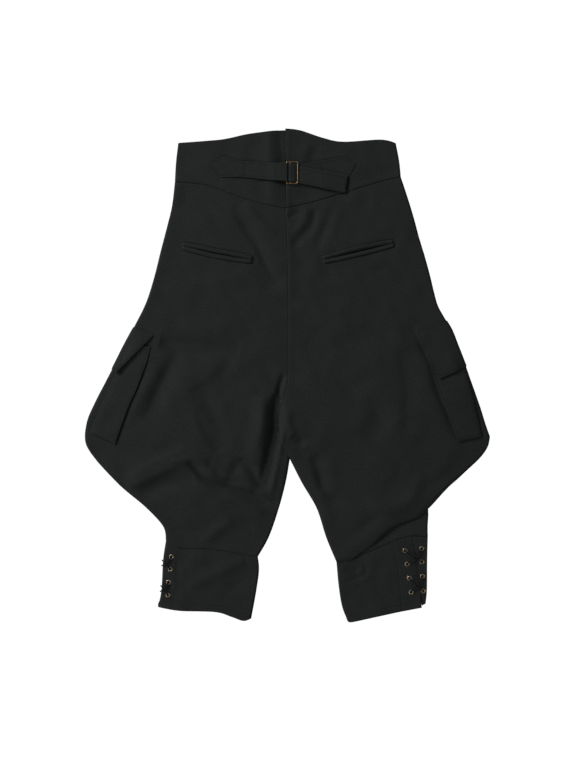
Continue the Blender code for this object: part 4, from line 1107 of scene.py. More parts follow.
# %% Cuffs
CUFF_COLUMNS_LEFT = (NEAR_EDGE, NEAR_SEAM[:10], 56)
CUFF_COLUMNS_RIGHT = (NEAR_SLIT, NEAR_EDGE, 42)
WRAP_RADIUS = PLAIN_HEIGHT / 2
SEAM_INSET = 1.2  # the wrapped cuff stops so far from the inseam
WRAP_TUCK_SHARE = 0.45  # how much of its height the tuck under the shin keeps
STAY_X, STAY_Y, STAY_HEIGHT, STAY_WALL = (206, 246), (-279, -297), 3.2, 0.6
points = section_grid(CUFF_LEFT, 115, 34, CUFF_COLUMNS_LEFT, CUFF_SEAM_LEFT, HEM_LEFT, stop=HEM_RADIUS)
left_cuff = back_panel("cuff_back_left", pull_back(points, HALF_GAP), LEFT_EDGES,
                       ["cuff_front_left"], "last", ["first_row"], swollen=False)
points = section_grid(CUFF_RIGHT, 115, 34, CUFF_COLUMNS_RIGHT, CUFF_SEAM_RIGHT, HEM_RIGHT, stop=HEM_RADIUS)
right_cuff = back_panel("cuff_back_right", pull_back(points, HALF_GAP), (SHIN_INSEAM,),
                        ["cuff_front_right"], "last", ["first_row"], swollen=False)


def wrapped_cuff():
    """Flat on the floor, half a circle round the outer edge, and on top as far as the slit.

    On the half circle a point lies the radius times (1 less the angle's cosine) in from the edge, and the
    radius times (1 plus its sine) above the floor. Two more rows go in under the shin.
    """
    rows = dense(CUFF_FRONT_RIGHT, 18)
    inner, edge, slit = rows[:, 0:2], rows[:, 2:4], rows[:, 4:6]
    inward = unit(inner - edge)
    floor_end, floor_start = inner - inward * SEAM_INSET, edge + inward * WRAP_RADIUS
    stations = []
    for share in np.linspace(0, 1, 30)[:-1]:
        stations.append((floor_end + (floor_start - floor_end) * share, 0.0))
    for angle in np.radians(np.linspace(-90, 90, 17)):
        place = edge + inward * WRAP_RADIUS * (1 - np.cos(angle))
        stations.append((place, WRAP_RADIUS * (1 + np.sin(angle))))
    for share in np.linspace(0, 1, 12)[1:]:
        stations.append((floor_start + (slit - floor_start) * share, PLAIN_HEIGHT))
    grid = np.stack([np.column_stack([xy, np.full(len(xy), z)]) for xy, z in stations], 1)
    tuck = grid[0] + unit((grid[0] - grid[2]) * LEVEL) * TUCK
    tuck[:, 2] = WRAP_RADIUS + (tuck[:, 2] - WRAP_RADIUS) * WRAP_TUCK_SHARE
    start = grid[0] * (1, 1, 0.5) + np.array((0, 0.3, WRAP_RADIUS * 0.5))
    return np.concatenate([[tuck, start], grid])


stay = np.stack(np.meshgrid(np.linspace(*STAY_X, 6), np.linspace(*STAY_Y, 6)), -1)
stay = with_height(stay, np.full(stay.shape[:2], STAY_HEIGHT))
made = piece("slit_stay", (stay,), WOOL, wall=STAY_WALL)
as_sheet(made, (stay,), strip=True)
PANELS["cuff_front_right"] = wrapped_cuff()
wrapped = piece("cuff_front_right_cloth", (PANELS["cuff_front_right"],), WOOL, ("cuff_front_right",),
                wall=THIN, down=True)
as_sheet(wrapped, (PANELS["cuff_front_right"],), strip=True)

# %% [markdown]
# Real holes for the eyelets. A short cylinder is taken away from the cloth at each eyelet, and the
# result becomes the piece's own mesh.

# %% Eyelet holes
HOLE, HOLE_SIDES = 2.9, 20
HOLE_FOOT, HOLE_TOP = 2.4, 7.5  # through the upper layer of cloth only


def cylinders(places):
    """Upright prisms through the upper cloth: at each place two rings, with their ends closed."""
    angle = np.linspace(0, 2 * np.pi, HOLE_SIDES, endpoint=False)
    ring = np.column_stack([HOLE * np.cos(angle), HOLE * np.sin(angle)])
    co = np.zeros((len(places), 2, HOLE_SIDES, 3))
    co[..., :2] = ring + np.array(places, float)[:, None, None]
    co[..., 2] = np.array((HOLE_FOOT, HOLE_TOP))[:, None]
    index = np.arange(len(places) * 2 * HOLE_SIDES).reshape(-1, 2, HOLE_SIDES)
    faces = []
    for foot, top in index.tolist():
        faces += [foot[::-1], top] + ring_quads(np.array(foot), np.array(top)).tolist()
    mesh = bpy.data.meshes.new("holes")
    mesh.from_pydata((co.reshape(-1, 3) * MM).tolist(), [], faces)
    return mesh


def punch(made, places):
    """Takes the cylinders away and keeps the result as a plain mesh."""
    cutter = bpy.data.objects.new("holes", cylinders(places))
    bpy.context.scene.collection.objects.link(cutter)
    cut = made.modifiers.new("holes", "BOOLEAN")
    cut.operation, cut.object, cut.solver = "DIFFERENCE", cutter, "EXACT"
    graph = bpy.context.evaluated_depsgraph_get()
    mesh = bpy.data.meshes.new_from_object(made.evaluated_get(graph))
    made.modifiers.clear()
    made.data = mesh
    bpy.data.objects.remove(cutter)
    print(made.name, "faces after its holes:", len(mesh.polygons))


punch(left_cuff, EYELETS_LEFT)
punch(right_cuff, EYELETS_RIGHT)
punch(wrapped, EYELETS_FRONT)

# %% [markdown]
# The front lies on the floor, out of sight of the camera. It has the back's outline, a crotch seam on
# the centre line, two yokes and a fly sewn onto the left leg. Its outer face looks down, and its edges
# curl up a little to meet the back.

# %% Front panels
FRONT_LEVEL, FRONT_CURL, CURL_REACH = 0.2, 0.3, 2.0
FRONT_COLUMNS = ((0.3, 0.6, 1.0, 1.6, 2.4, 4, 8), (0, 0.5, 1.2, 2.4, 5), 40)
FLY_WIDTH, FLY_FOOT, FLY_STRAIGHT, FLY_TOP = 36.0, 46.0, 90.0, 322.5
FLY_LIFT, FLY_SLOPE, FLY_FOOT_SLOPE = 1.15, 4, 5  # how the leg's cloth rises over the fly
FRONT_HEM_LIFT = 3  # the front hem of the left cuff ends so far above the back one
FRONT_WAIST = ((-194.5, 411), (-100, 405), (0, 401), (100, 406), (194.5, 411))
FRONT_YOKE_SEAM = ((-200, 344), (-100, 332), (0, 322), (100, 336), (203, 353))


def fly_edge(y):
    """How far the fly reaches from the centre: its full width, and a quarter of an ellipse at its foot."""
    part = np.clip((FLY_STRAIGHT - y) / (FLY_STRAIGHT - FLY_FOOT), 0, 1)
    return FLY_WIDTH * np.sqrt(1 - part**2)


def lying(points, edges, over_fly=False):
    """A front panel's outer face: level, curled up at its edges and over the fly."""
    x, y = points[..., 0], points[..., 1]
    level = np.full_like(x, FRONT_LEVEL)
    if over_fly:
        inside = smooth_step((x + fly_edge(y) + FLY_SLOPE) / FLY_SLOPE)
        level += FLY_LIFT * inside * smooth_step((y - FLY_FOOT + FLY_FOOT_SLOPE) / FLY_FOOT_SLOPE)
    curl = np.zeros_like(x)
    for edge in edges:
        away = np.abs(from_path(x, y, edge)[0])
        curl = np.maximum(curl, FRONT_CURL * (1 - quarter(away, CURL_REACH)))
    return with_height(points, level + curl)


def centre_rows(rows, first_y):
    """The back's sections, with their inner ends on the centre line as far as the notch."""
    moved = [(x, y, 0, inner_y) for x, y, _, inner_y in rows[:NOTCH]]
    moved[0] = (*moved[0][:3], first_y)
    return moved + list(rows[NOTCH:])


def front_piece(name, grids):
    """A plain hidden piece whose outer face looks down."""
    made = piece(name + "_cloth", grids, WOOL, (name,), wall=THIN, down=True)
    as_sheet(made, grids)


left_half, right_half = FRONT_YOKE_SEAM[:3], FRONT_YOKE_SEAM[2:]
rows = centre_rows(LEG_LEFT, 322)
points = section_grid(rows, 640, 120, FRONT_COLUMNS, left_half, CUFF_SEAM_LEFT, NOTCH)
front_left = lying(pull_back(points, HALF_GAP, HALF_GAP, HALF_GAP), LEFT_EDGES, over_fly=True)
front_piece("front_left", (front_left,))

rows = centre_rows(THIGH_RIGHT, 322)[:-1] + [(362, -110, 81, -306)]
points = section_grid(rows, 460, 100, FRONT_COLUMNS, right_half, SHIN_TOP + WING_UNDER[1:], NOTCH)
thigh = lying(pull_back(points, HALF_GAP, 0, HALF_GAP), RIGHT_EDGES)
points = section_grid(SHIN_RIGHT, 56, 12, FRONT_COLUMNS, SHIN_TOP, CUFF_SEAM_RIGHT)
shin = lying(pull_back(points, 0, HALF_GAP), (SHIN_SIDE, SHIN_INSEAM))
front_piece("front_right", (thigh, shin))

rows = ((-194.5, 411, 0, 401), (-198, 379, 0, 362), (-200, 344, 0, 322))
points = section_grid(rows, 80, 12, FRONT_COLUMNS, FRONT_WAIST[:3], left_half, start=HEM_RADIUS)
front_yoke_left = lying(pull_back(points, 0, HALF_GAP, HALF_GAP), (SIDE_LEFT,))
front_piece("front_yoke_left", (turned_edge(front_yoke_left[::-1], down=True)[::-1],))
rows = ((194.5, 411, 0, 401), (200, 382, 0, 362), (203, 353, 0, 322))
points = section_grid(rows, 80, 12, FRONT_COLUMNS, FRONT_WAIST[2:], right_half, start=HEM_RADIUS)
front_yoke_right = lying(pull_back(points, 0, HALF_GAP, HALF_GAP), (SIDE_RIGHT,))
front_piece("front_yoke_right", (turned_edge(front_yoke_right[::-1], down=True)[::-1],))

hem = tuple((x, y + FRONT_HEM_LIFT) for x, y in HEM_LEFT)
side_x, side_y, inner_x, inner_y = CUFF_LEFT[-1]
rows = CUFF_LEFT[:-1] + ((side_x, side_y + FRONT_HEM_LIFT, inner_x, inner_y + FRONT_HEM_LIFT),)
points = section_grid(rows, 115, 20, FRONT_COLUMNS, CUFF_SEAM_LEFT, hem, stop=HEM_RADIUS)
front_cuff = lying(pull_back(points, HALF_GAP), LEFT_EDGES)
front_piece("cuff_front_left", (turned_edge(front_cuff, down=True),))

share = np.sin(np.linspace(0, np.pi / 2, 60))
y = FLY_TOP - (FLY_TOP - FLY_FOOT - 0.3) * share
x = -fly_edge(y)[:, None] * np.linspace(1, 0, 24)[None, :] - HALF_GAP
fly = lying(np.dstack([x, np.broadcast_to(y[:, None], x.shape)]), ())
front_piece("fly_placket", (fly,))

# %% [markdown]
# Pockets and flaps. The cargo pockets are bellows pockets: their inner edge stands off the leg on a
# folded side, which is the dark line in the photograph. The flaps are double cloth, sewn along their
# top and stitched round their edge. The left flap's inner corner curls up.

# %% Cargo pockets and flaps
# Columns as in a section, from the mouth down: outer x, outer y, inner x, inner y
POCKETS = {
    "left": ((-281, 56, -243, 50), (-293, 30, -249, 24), (-305, 4, -257, 2), (-317, -24, -268, -28),
             (-330, -54, -281, -56), (-341, -79, -293, -88), (-351, -103, -306, -124)),
    "right": ((306, 42, 252, 24), (314, 18, 260, 2), (323, -8, 267, -20), (331, -36, 277, -46),
              (338, -66, 288, -72), (343, -88, 297, -96), (348, -110, 306, -119)),
}
FLAPS = {
    "left": ((-273, 85, -237, 71), (-283, 67, -253, 55), (-293, 48, -270, 38), (-302, 30, -287, 20),
             (-311, 12, -303, 3)),
    "right": ((285, 96, 228, 77), (294, 80, 239, 56), (302, 60, 250, 35), (311, 37, 260, 14),
              (319, 16, 271, -7)),
}
POCKET_LIFT, POCKET_FULLNESS, POCKET_LENGTH = 1.6, 2.6, 168
# How full a pocket is at distances from its outer edge, and how much less from its inner edge
FULL_FROM_OUTER = ((0, 2.5, 8, 20), (0, 0.55, 0.9, 1))
LESS_FROM_INNER = ((0, 3, 8), (0.35, 0.07, 0))
# Columns: how far in under a pocket's inner edge, how far below it
POCKET_STEPS = ((0.1, 0.4), (0.5, 0.8), (1.4, 1.1), (3.0, 1.4), (6.0, 1.7))
INNER_DROP = {"left": 0.7, "right": 0.1}  # how far the inner edge is rounded off
POCKET_DROP, POCKET_ROUND = 0.8, 1.2  # how far the other edges are, and within what distance
FLAP_LIFT, FLAP_LENGTH, FLAP_WALL = 1.9, 82, 1.5
FLAP_DROP, FLAP_ROUND = 0.6, 1.1
FLAP_STAND = {"left": 6.4, "right": 4.2}  # over the full pocket below, at its foot
STAND_FROM_OUTER = ((0, 3, 8, 14, 20), (0, 0.12, 0.4, 0.8, 1))
FLAP_CURL = {"left": 2.4, "right": 0.8}  # of the inner corner
CURL_START = 8
CURL_SHARE = ((0, 0.25, 0.5, 0.75, 1), (0, 0.42, 0.75, 0.92, 1))
TRIM_COLUMNS = (NEAR_TRIM, NEAR_TRIM, 14)
TRIM_STITCH, TRIM_GROOVE, TRIM_GROOVE_HALF = 3.4, 0.3, 0.8
TRIMS = {}


def edge_distances(points):
    """Distance of each point from its grid's first column, last column, first row and last row."""
    across = np.cumsum(np.linalg.norm(np.diff(points, axis=1), axis=-1), axis=1)
    along = np.cumsum(np.linalg.norm(np.diff(points, axis=0), axis=-1), axis=0)
    across = np.pad(across, ((0, 0), (1, 0)))
    along = np.pad(along, ((1, 0), (0, 0)))
    return across, across[:, -1:] - across, along, along[-1:] - along


def moved_out(surface, lift):
    """The surface moved along its own normals."""
    return surface + normals(surface) * lift[..., None]


def stitched_groove(*distances):
    """The groove of a row of stitches that follows the nearest of these edges: a bell curve across it."""
    away = np.minimum.reduce(distances) - TRIM_STITCH
    return TRIM_GROOVE * np.exp(-(away / TRIM_GROOVE_HALF) ** 2)


def cargo_pocket(side):
    """A full bag that stands off the leg, fullest below its mouth, with its inner side folded under.

    Its height over the leg is a lift, plus the fullness times its share from the mouth, from both
    sides and from the foot, plus a slight wave, less the rounding of its edges.
    """
    points = section_grid(POCKETS[side], POCKET_LENGTH, 44, TRIM_COLUMNS, near_rows=NEAR_TRIM)
    outer, inner, mouth, foot = edge_distances(points)
    full = np.interp(outer, *FULL_FROM_OUTER) * (1 - INNER_DROP[side] * np.interp(inner, *LESS_FROM_INNER))
    lift = POCKET_LIFT + POCKET_FULLNESS * smooth_step(mouth / 80 + 0.1) * full * quarter(foot, 9)
    lift += 0.25 * np.sin(mouth / 9 + outer / 14) * smooth_step(inner / 6) * smooth_step(foot / 10)
    rounded = 1 - quarter(np.minimum(outer, foot), POCKET_ROUND)
    lift -= INNER_DROP[side] * (1 - quarter(inner, POCKET_ROUND)) + POCKET_DROP * rounded
    grid = moved_out(on_face(points), lift - stitched_groove(outer, inner, foot))
    grid[..., 2] = np.maximum(grid[..., 2], EDGE_LOW)
    TRIMS["cargo_pocket_" + side] = grid
    edge = grid[:, -1]
    inwards = unit((grid[:, -4] - edge) * LEVEL)
    grid = np.concatenate([grid, np.stack(steps_down(edge, inwards, POCKET_STEPS), 1)], axis=1)
    made = piece("cargo_pocket_" + side + "_cloth", (grid,), WOOL, ("cargo_pocket_" + side,), wall=THIN)
    as_sheet(made, (grid,), strip=True)


def cargo_flap(side):
    """A double flap that stands over the pocket towards its foot, and curls up at its inner corner.

    The stand grows with the way down, and the curl with that way's root.
    """
    points = section_grid(FLAPS[side], FLAP_LENGTH, 22, TRIM_COLUMNS, near_rows=NEAR_TRIM)
    outer, inner, top, foot = edge_distances(points)
    down = top / (top + foot)
    stand = np.interp(outer, *STAND_FROM_OUTER)
    towards = np.clip((outer - CURL_START) / (outer + inner - CURL_START), 0, 1)
    curl = np.interp(towards, *CURL_SHARE)
    lift = FLAP_LIFT + FLAP_STAND[side] * down * stand + FLAP_CURL[side] * curl * np.sqrt(down)
    lift -= FLAP_DROP * (1 - quarter(np.minimum.reduce((outer, top, foot)), FLAP_ROUND))
    lift -= INNER_DROP[side] * (1 - quarter(inner, FLAP_ROUND))
    grid = moved_out(on_face(points), lift - stitched_groove(outer, inner, top, foot))
    grid[..., 2] = np.maximum(grid[..., 2], EDGE_LOW)
    TRIMS["cargo_flap_" + side] = grid
    made = piece("cargo_flap_" + side + "_cloth", (grid,), WOOL, ("cargo_flap_" + side,), wall=FLAP_WALL)
    as_sheet(made, (grid,), strip=True)


for side in ("left", "right"):
    cargo_pocket(side)
    cargo_flap(side)
print("pockets and flaps:", list(TRIMS))

# %% [markdown]
# Welt pockets on the seat: two narrow rolled lips on either side of a slit that gapes in the middle.

# %% Welts
# Columns: distance from the slit's edge, height of the outer face over the panel
WELT_PROFILE = ((0.7, 0.5), (0.15, 0.8), (0, 1.3), (0.2, 1.8), (0.7, 2.2), (1.5, 2.5), (2.75, 2.7),
                (4.0, 2.55), (4.8, 2.2), (5.3, 1.7), (5.5, 1.2))
WELT_WALL, WELT_LEAST = 0.9, 0.3  # thickness of the cloth, and its least height over the panel
WELT_ROW, WELT_END = 2.1, 4.5  # millimetres between rows, and over which the ends are rounded


def slit_line(side):
    """The slit's middle line, its normals, and half its opening along the way."""
    path, gape = WELTS[side]
    line = dense(path, 30)
    way = np.gradient(line, axis=0)
    normal = unit(np.column_stack([-way[:, 1], way[:, 0]]))
    opening = HALF_GAP + gape / 2 * np.sin(np.pi * np.linspace(0, 1, len(line))).clip(0) ** 0.8
    return line, normal, opening


def welt(side, lip, sign):
    """One rolled lip: its profile, carried along the slit, lower at both ends and slightly uneven."""
    line, normal, opening = slit_line(side)
    points = np.stack([line + normal * sign * (opening[:, None] + away) for away, _ in WELT_PROFILE], 1)
    row = np.arange(len(line))
    ends = quarter(np.minimum(row, row[::-1]) * WELT_ROW, WELT_END)
    uneven = 1 + 0.06 * np.sin(row / 3.7 + sign)
    lift = np.array([height for _, height in WELT_PROFILE])[None, :] * (ends * uneven)[:, None]
    grid = moved_out(on_face(points), np.maximum(lift, WELT_LEAST))
    name = f"welt_{lip}_{side}"
    made = piece(name + "_cloth", (grid,), WOOL, (name,), wall=WELT_WALL)
    as_sheet(made, (grid,), strip=True)


for side in ("left", "right"):
    welt(side, "upper", 1)
    welt(side, "lower", -1)
print("welts: 4")

# %% [markdown]
# The cinch. Two straps meet at a wire buckle over the centre of the back. The left one is sewn round the
# buckle's outer bar. The right one goes up through the buckle, round the middle bar and back over
# itself, and its tail ends free. The straps bridge the folds of the yoke below.

# %% Straps
BUCKLE_PLACE, BUCKLE_HEIGHT = np.array((10.0, 360.0)), 6.6  # x, y, and height over the yoke there
BAR_LEFT, BAR_MIDDLE, BAR_RIGHT = -1.0, 5.5, 19.0
BUCKLE_TOP, BUCKLE_FOOT, BUCKLE_CORNER, WIRE = 379.0, 340.5, 2.6, 0.85
STRAP_WALL, TURN = 1.5, 1.9
LEFT_TURN, RIGHT_TURN, LEFT_RETURN_X = (376.5, 345.5), (374.3, 344.5), -9.0
# Columns: upper x, upper y, lower x, lower y, height of the strap's middle over the yoke
TAB_LEFT = (
    (-134.5, 375.5, -134, 374, 1.3),
    (-127, 381.5, -128, 365, 1.3),
    (-114, 390, -118, 352, 1.3),
    (-101, 385.5, -102, 352.5, 1.3),
    (-86, 381, -86, 353, 1.6),
    (-58, 379, -58, 350.5, 2.4),
    (-34, 377.5, -34, 348, 4.4),
    (-18, 376.8, -18, 346.5, 7.4),
)
TAB_RIGHT = (
    (122.5, 375, 122, 373.5, 1.3),
    (113, 381, 116, 364, 1.3),
    (101, 388, 110, 353, 1.3),
    (86, 385.5, 92, 351, 1.3),
    (68, 382, 68, 349.5, 1.5),
    (45, 377.5, 45, 347.5, 2.2),
    (27, 375, 27, 346, 3.0),
    (19, 374.5, 19, 345.5, 3.05),
    (11, 374.5, 11, 345.5, 4.0),
)
TAIL = (
    (11, 373, 11, 343.5, 7.4),
    (19, 371.5, 19, 342, 4.65),
    (27, 370, 27, 340.5, 4.9),
    (45, 366.5, 45, 337, 5.2),
    (68, 362, 67, 332, 5.2),
    (90, 357.6, 86, 328, 4.1),
    (108, 354, 103.5, 324.5, 2.9),
)
# Where a row's points stand, as shares of the strap's width: close together at the stitched edges
HALF_SHARES = np.array((0, 0.008, 0.02, 0.04, 0.06, 0.08, 0.095, 0.11, 0.125, 0.14, 0.17,
                        0.25, 0.33, 0.42, 0.5))
STRAP_SHARES = np.concatenate([HALF_SHARES, 1 - HALF_SHARES[-2::-1]])
STRAP_STEPS, TURN_STEPS = 14, 17  # rows from one row of a table to the next, and round a bar
ROW_LEAST = 0.05  # rows closer than this are one row
STRAP_EDGE, CROSS_DIP, CROSS_HALF = 0.35, 0.4, 1.2  # depth at the edges; depth and reach of a cross line
# Where stitches cross a strap below the bars: x
CROSS_LINES = {"cinch_tab_left": (-75, -20), "cinch_strap_right": (61,)}


def yoke_level(x, y):
    """The yoke's height without its folds, which a strap bridges."""
    return add_swellings(np.full_like(x, PLAIN_HEIGHT), x, y)


def strap_rows(table):
    """Rows at even steps: outline straight from row to row, height along a smooth curve."""
    rows = np.array(table, float)
    at = np.linspace(0, len(rows) - 1, (len(rows) - 1) * STRAP_STEPS + 1)
    straight = np.column_stack([np.interp(at, np.arange(len(rows)), rows[:, i]) for i in range(4)])
    height = spline(rows[:, 4:5], at)[:, 0]
    upper, lower = straight[:, 0:2], straight[:, 2:4]
    middle = (upper + lower) / 2
    return upper, lower, yoke_level(middle[:, 0], middle[:, 1]) + height


def turn_rows(centre_x, centre_z, start, end, upper_y, lower_y):
    """Rows on a circle round a bar, from one angle to another: x goes by the cosine, z by the sine."""
    angles = np.radians(np.linspace(start, end, TURN_STEPS))
    x = centre_x + TURN * np.cos(angles)
    upper = np.column_stack([x, np.full(TURN_STEPS, upper_y)])
    lower = np.column_stack([x, np.full(TURN_STEPS, lower_y)])
    return upper, lower, centre_z + TURN * np.sin(angles)


def strap(name, parts):
    """A double strap through its parts' rows, pressed in at its stitched edges and cross lines."""
    upper = np.vstack([part[0] for part in parts])
    lower = np.vstack([part[1] for part in parts])
    z = np.concatenate([part[2] for part in parts])
    steps = np.linalg.norm(np.diff(np.column_stack([upper, z]), axis=0), axis=1)
    keep = np.concatenate([[True], steps > ROW_LEAST])
    upper, lower, z = upper[keep], lower[keep], z[keep]
    share = STRAP_SHARES[None, :, None]
    points = upper[:, None] * (1 - share) + lower[:, None] * share
    grid = np.dstack([points, np.broadcast_to(z[:, None], points.shape[:2])])
    first, last, start, end = edge_distances(grid)
    ends = np.minimum(start, end) if name == "cinch_strap_right" else start
    edges = np.minimum(first, last)
    dip = STRAP_EDGE * (1 - quarter(np.minimum(edges, ends), 1.0)) + stitched_groove(edges, ends)
    for x in CROSS_LINES[name]:
        dip += CROSS_DIP * np.exp(-((grid[..., 0] - x) / CROSS_HALF) ** 2) * (grid[..., 2] < bar_z)
    grid = moved_out(grid, -dip)
    TRIMS[name] = grid
    made = piece(name + "_cloth", (grid,), WOOL, (name,), wall=STRAP_WALL, centred=True)
    as_sheet(made, (grid,), strip=True)


bar_z = float(yoke_level(*BUCKLE_PLACE)) + BUCKLE_HEIGHT
return_end = (np.array([(LEFT_RETURN_X, LEFT_TURN[0])]), np.array([(LEFT_RETURN_X, LEFT_TURN[1])]),
              np.array([bar_z - TURN]))
strap("cinch_tab_left", (strap_rows(TAB_LEFT), turn_rows(BAR_LEFT, bar_z, 90, -90, *LEFT_TURN), return_end))
strap("cinch_strap_right", (strap_rows(TAB_RIGHT), turn_rows(BAR_MIDDLE, bar_z, -90, -270, *RIGHT_TURN),
                            strap_rows(TAIL)))
print("strap grids:", TRIMS["cinch_tab_left"].shape[:2], TRIMS["cinch_strap_right"].shape[:2])

# %% [markdown]
# Round wire and cord. A tube follows a line: at each station a ring of points stands square to the
# line's direction, turned by one fixed side direction, so it never twists.

# %% Tubes, buckle and laces
GAP = 0.3  # between hard pieces that lie on each other
LACE = 1.0  # radius
FLANGE_RISE, FLANGE = 0.9, 4.2  # of an eyelet
LACE_SLACK = 0.35
LACE_RISE = GAP + FLANGE_RISE + LACE + LACE_SLACK
LACE_CROSS = 2 * LACE + GAP
CORNER_STEPS = 10
BAR_WIRE = 0.85 * WIRE


def tube(name, lines, radius, finish, node_names, side, sides=16, closed=False):
    """One mesh from tubes along the lines; side is a direction that none of them runs along."""
    co, faces, uv, count = [], [], [], 0
    turn = np.linspace(0, 2 * np.pi, sides, endpoint=False)
    for line in lines:
        line = np.asarray(line, float)
        way = unit((np.roll(line, -1, 0) - np.roll(line, 1, 0)) if closed else np.gradient(line, axis=0))
        across = unit(np.cross(way, np.asarray(side, float)))
        up = np.cross(across, way)
        ring = across[:, None] * np.cos(turn)[None, :, None] + up[:, None] * np.sin(turn)[None, :, None]
        index = np.arange(len(line) * sides).reshape(len(line), sides) + count
        here, there = (index, np.roll(index, -1, 0)) if closed else (index[:-1], index[1:])
        co.append((line[:, None] + ring * radius).reshape(-1, 3))
        faces.append(ring_quads(here, there))
        run = walked_along(line)
        uv.append(np.stack(np.broadcast_arrays(run[:, None], radius * turn[None, :]), -1).reshape(-1, 2))
        count += len(line) * sides
    mesh = new_mesh(name, np.vstack(co), np.vstack(faces), np.vstack(uv))
    return finish_piece(name, mesh, finish, node_names)


def buckle_loop():
    """The middle line of the buckle's frame: a quarter of a circle at each corner, straight between them."""
    left, right = BAR_LEFT + BUCKLE_CORNER, BAR_RIGHT - BUCKLE_CORNER
    foot, top = BUCKLE_FOOT + BUCKLE_CORNER, BUCKLE_TOP - BUCKLE_CORNER
    loop = []
    for number, (x, y) in enumerate(((right, top), (left, top), (left, foot), (right, foot))):
        for angle in np.radians(np.linspace(90 * number, 90 * number + 90, CORNER_STEPS)):
            loop.append((x + BUCKLE_CORNER * np.cos(angle), y + BUCKLE_CORNER * np.sin(angle), bar_z))
    return loop


tube("buckle_frame", [buckle_loop()], WIRE, BUCKLE_BRASS, ("buckle",), (0, 0, 1), 24, closed=True)
bar = [(BAR_MIDDLE, y, bar_z) for y in np.linspace(BUCKLE_FOOT, BUCKLE_TOP, 12)]
tube("buckle_bar", [bar], BAR_WIRE, BUCKLE_BRASS, (), (0, 0, 1), 24)


def strand(start, end, over, both_ends=True):
    """A lace from one eyelet's barrel to another: up, over the flange, across, and down again."""
    start, end = np.asarray(start, float), np.asarray(end, float)
    length = np.linalg.norm(end - start)
    way = (end - start) / length
    crossing = LACE_RISE + (LACE_CROSS if over else 0)
    stations = [(0, -0.9), (0, 1.3), (1.3, LACE_RISE), (FLANGE - 0.8, LACE_RISE + LACE_SLACK),
                (length * 0.38, crossing), (length * 0.5, crossing)]
    if both_ends:
        stations += [(length - away, z) for away, z in reversed(stations[:-1])]
    return [(*(start + way * away), PLAIN_HEIGHT + z) for away, z in stations]


def edge_lace(here, there, lifted):
    """On the left cuff the lace goes from its eyelet to the outer edge and down into the slit there."""
    mid_y = (here[1] + there[1]) / 2
    exit_y = mid_y + 0.22 * (there[1] - here[1])
    side_x = float(np.interp(-exit_y, -SIDE_LEFT[:, 1], SIDE_LEFT[:, 0]))
    line = strand(here, (side_x + 1, exit_y), False, both_ends=False)[:4]
    line += [(side_x + 5.5, mid_y, PLAIN_HEIGHT + LACE_RISE + lifted),
             (side_x + 1.5, mid_y + 0.12 * (there[1] - here[1]), PLAIN_HEIGHT + 1.4 + lifted * 0.9),
             (side_x - 1.2, exit_y, PLAIN_HEIGHT - 0.2 + lifted * 0.3),
             (side_x - 1.6, exit_y, 1.4)]
    return line


def lace(name, stations):
    """A lace on a smooth curve through its stations."""
    line = dense(stations, 8)
    side = np.cross(np.append((line[-1] - line[0])[:2], 0), (0, 0, 1))
    tube(name + "_cord", [line], LACE, LACE_CORD, (name,), side)


for level, high, low in (("upper", 0, 1), ("lower", 2, 3)):
    lace(f"lace_right_{level}_under", strand(EYELETS_RIGHT[high], EYELETS_FRONT[low], False))
    lace(f"lace_right_{level}_over", strand(EYELETS_RIGHT[low], EYELETS_FRONT[high], True))
    lace(f"lace_left_{level}_under", edge_lace(EYELETS_LEFT[high], EYELETS_LEFT[low], 0.0))
    lace(f"lace_left_{level}_over", edge_lace(EYELETS_LEFT[low], EYELETS_LEFT[high], LACE_CROSS))
print("laces: 8")

# %% [markdown]
# Eyelets. Each is a turned ring: a rolled flange on the cloth and a short barrel through it.

# %% Eyelets
EYELET_STEPS = 36
# Columns: radius, height over the cloth; down the outside, under the cloth and up the bore
EYELET_PROFILE = ((3.4, 1.2), (3.8, 1.12), (4.08, 0.9), (4.2, 0.62), (4.15, 0.4), (4.0, 0.3), (2.6, 0.3),
                  (2.6, -1.65), (2.05, -1.65), (2.05, 0.35), (2.12, 0.65), (2.35, 0.92), (2.75, 1.12),
                  (3.1, 1.2))


def eyelet(name, x, y):
    """The profile turned round the upright axis: x and y go by the radius times cosine and sine."""
    radius, rise = np.array(EYELET_PROFILE).T
    angle = np.linspace(0, 2 * np.pi, EYELET_STEPS, endpoint=False)[:, None]
    co = np.stack(np.broadcast_arrays(x + radius * np.cos(angle), y + radius * np.sin(angle),
                                      PLAIN_HEIGHT + rise), -1).reshape(-1, 3)
    index = np.arange(EYELET_STEPS * len(radius)).reshape(EYELET_STEPS, -1)
    mesh = new_mesh(name, co, ring_quads(index, np.roll(index, -1, 0)))
    finish_piece(name + "_ring", mesh, EYELET_METAL, (name,))


for side, places in (("left", EYELETS_LEFT), ("right", EYELETS_RIGHT), ("front", EYELETS_FRONT)):
    for number, (x, y) in enumerate(places, 1):
        eyelet(f"eyelet_{side}_{number}", x, y)
print("eyelets: 12")

# %% [markdown]
# Sewing thread. Stitches follow lines at a set distance inside the edges of the grids. Each stitch is a
# short arched tube that dips into the cloth at both ends, like a running machine stitch.

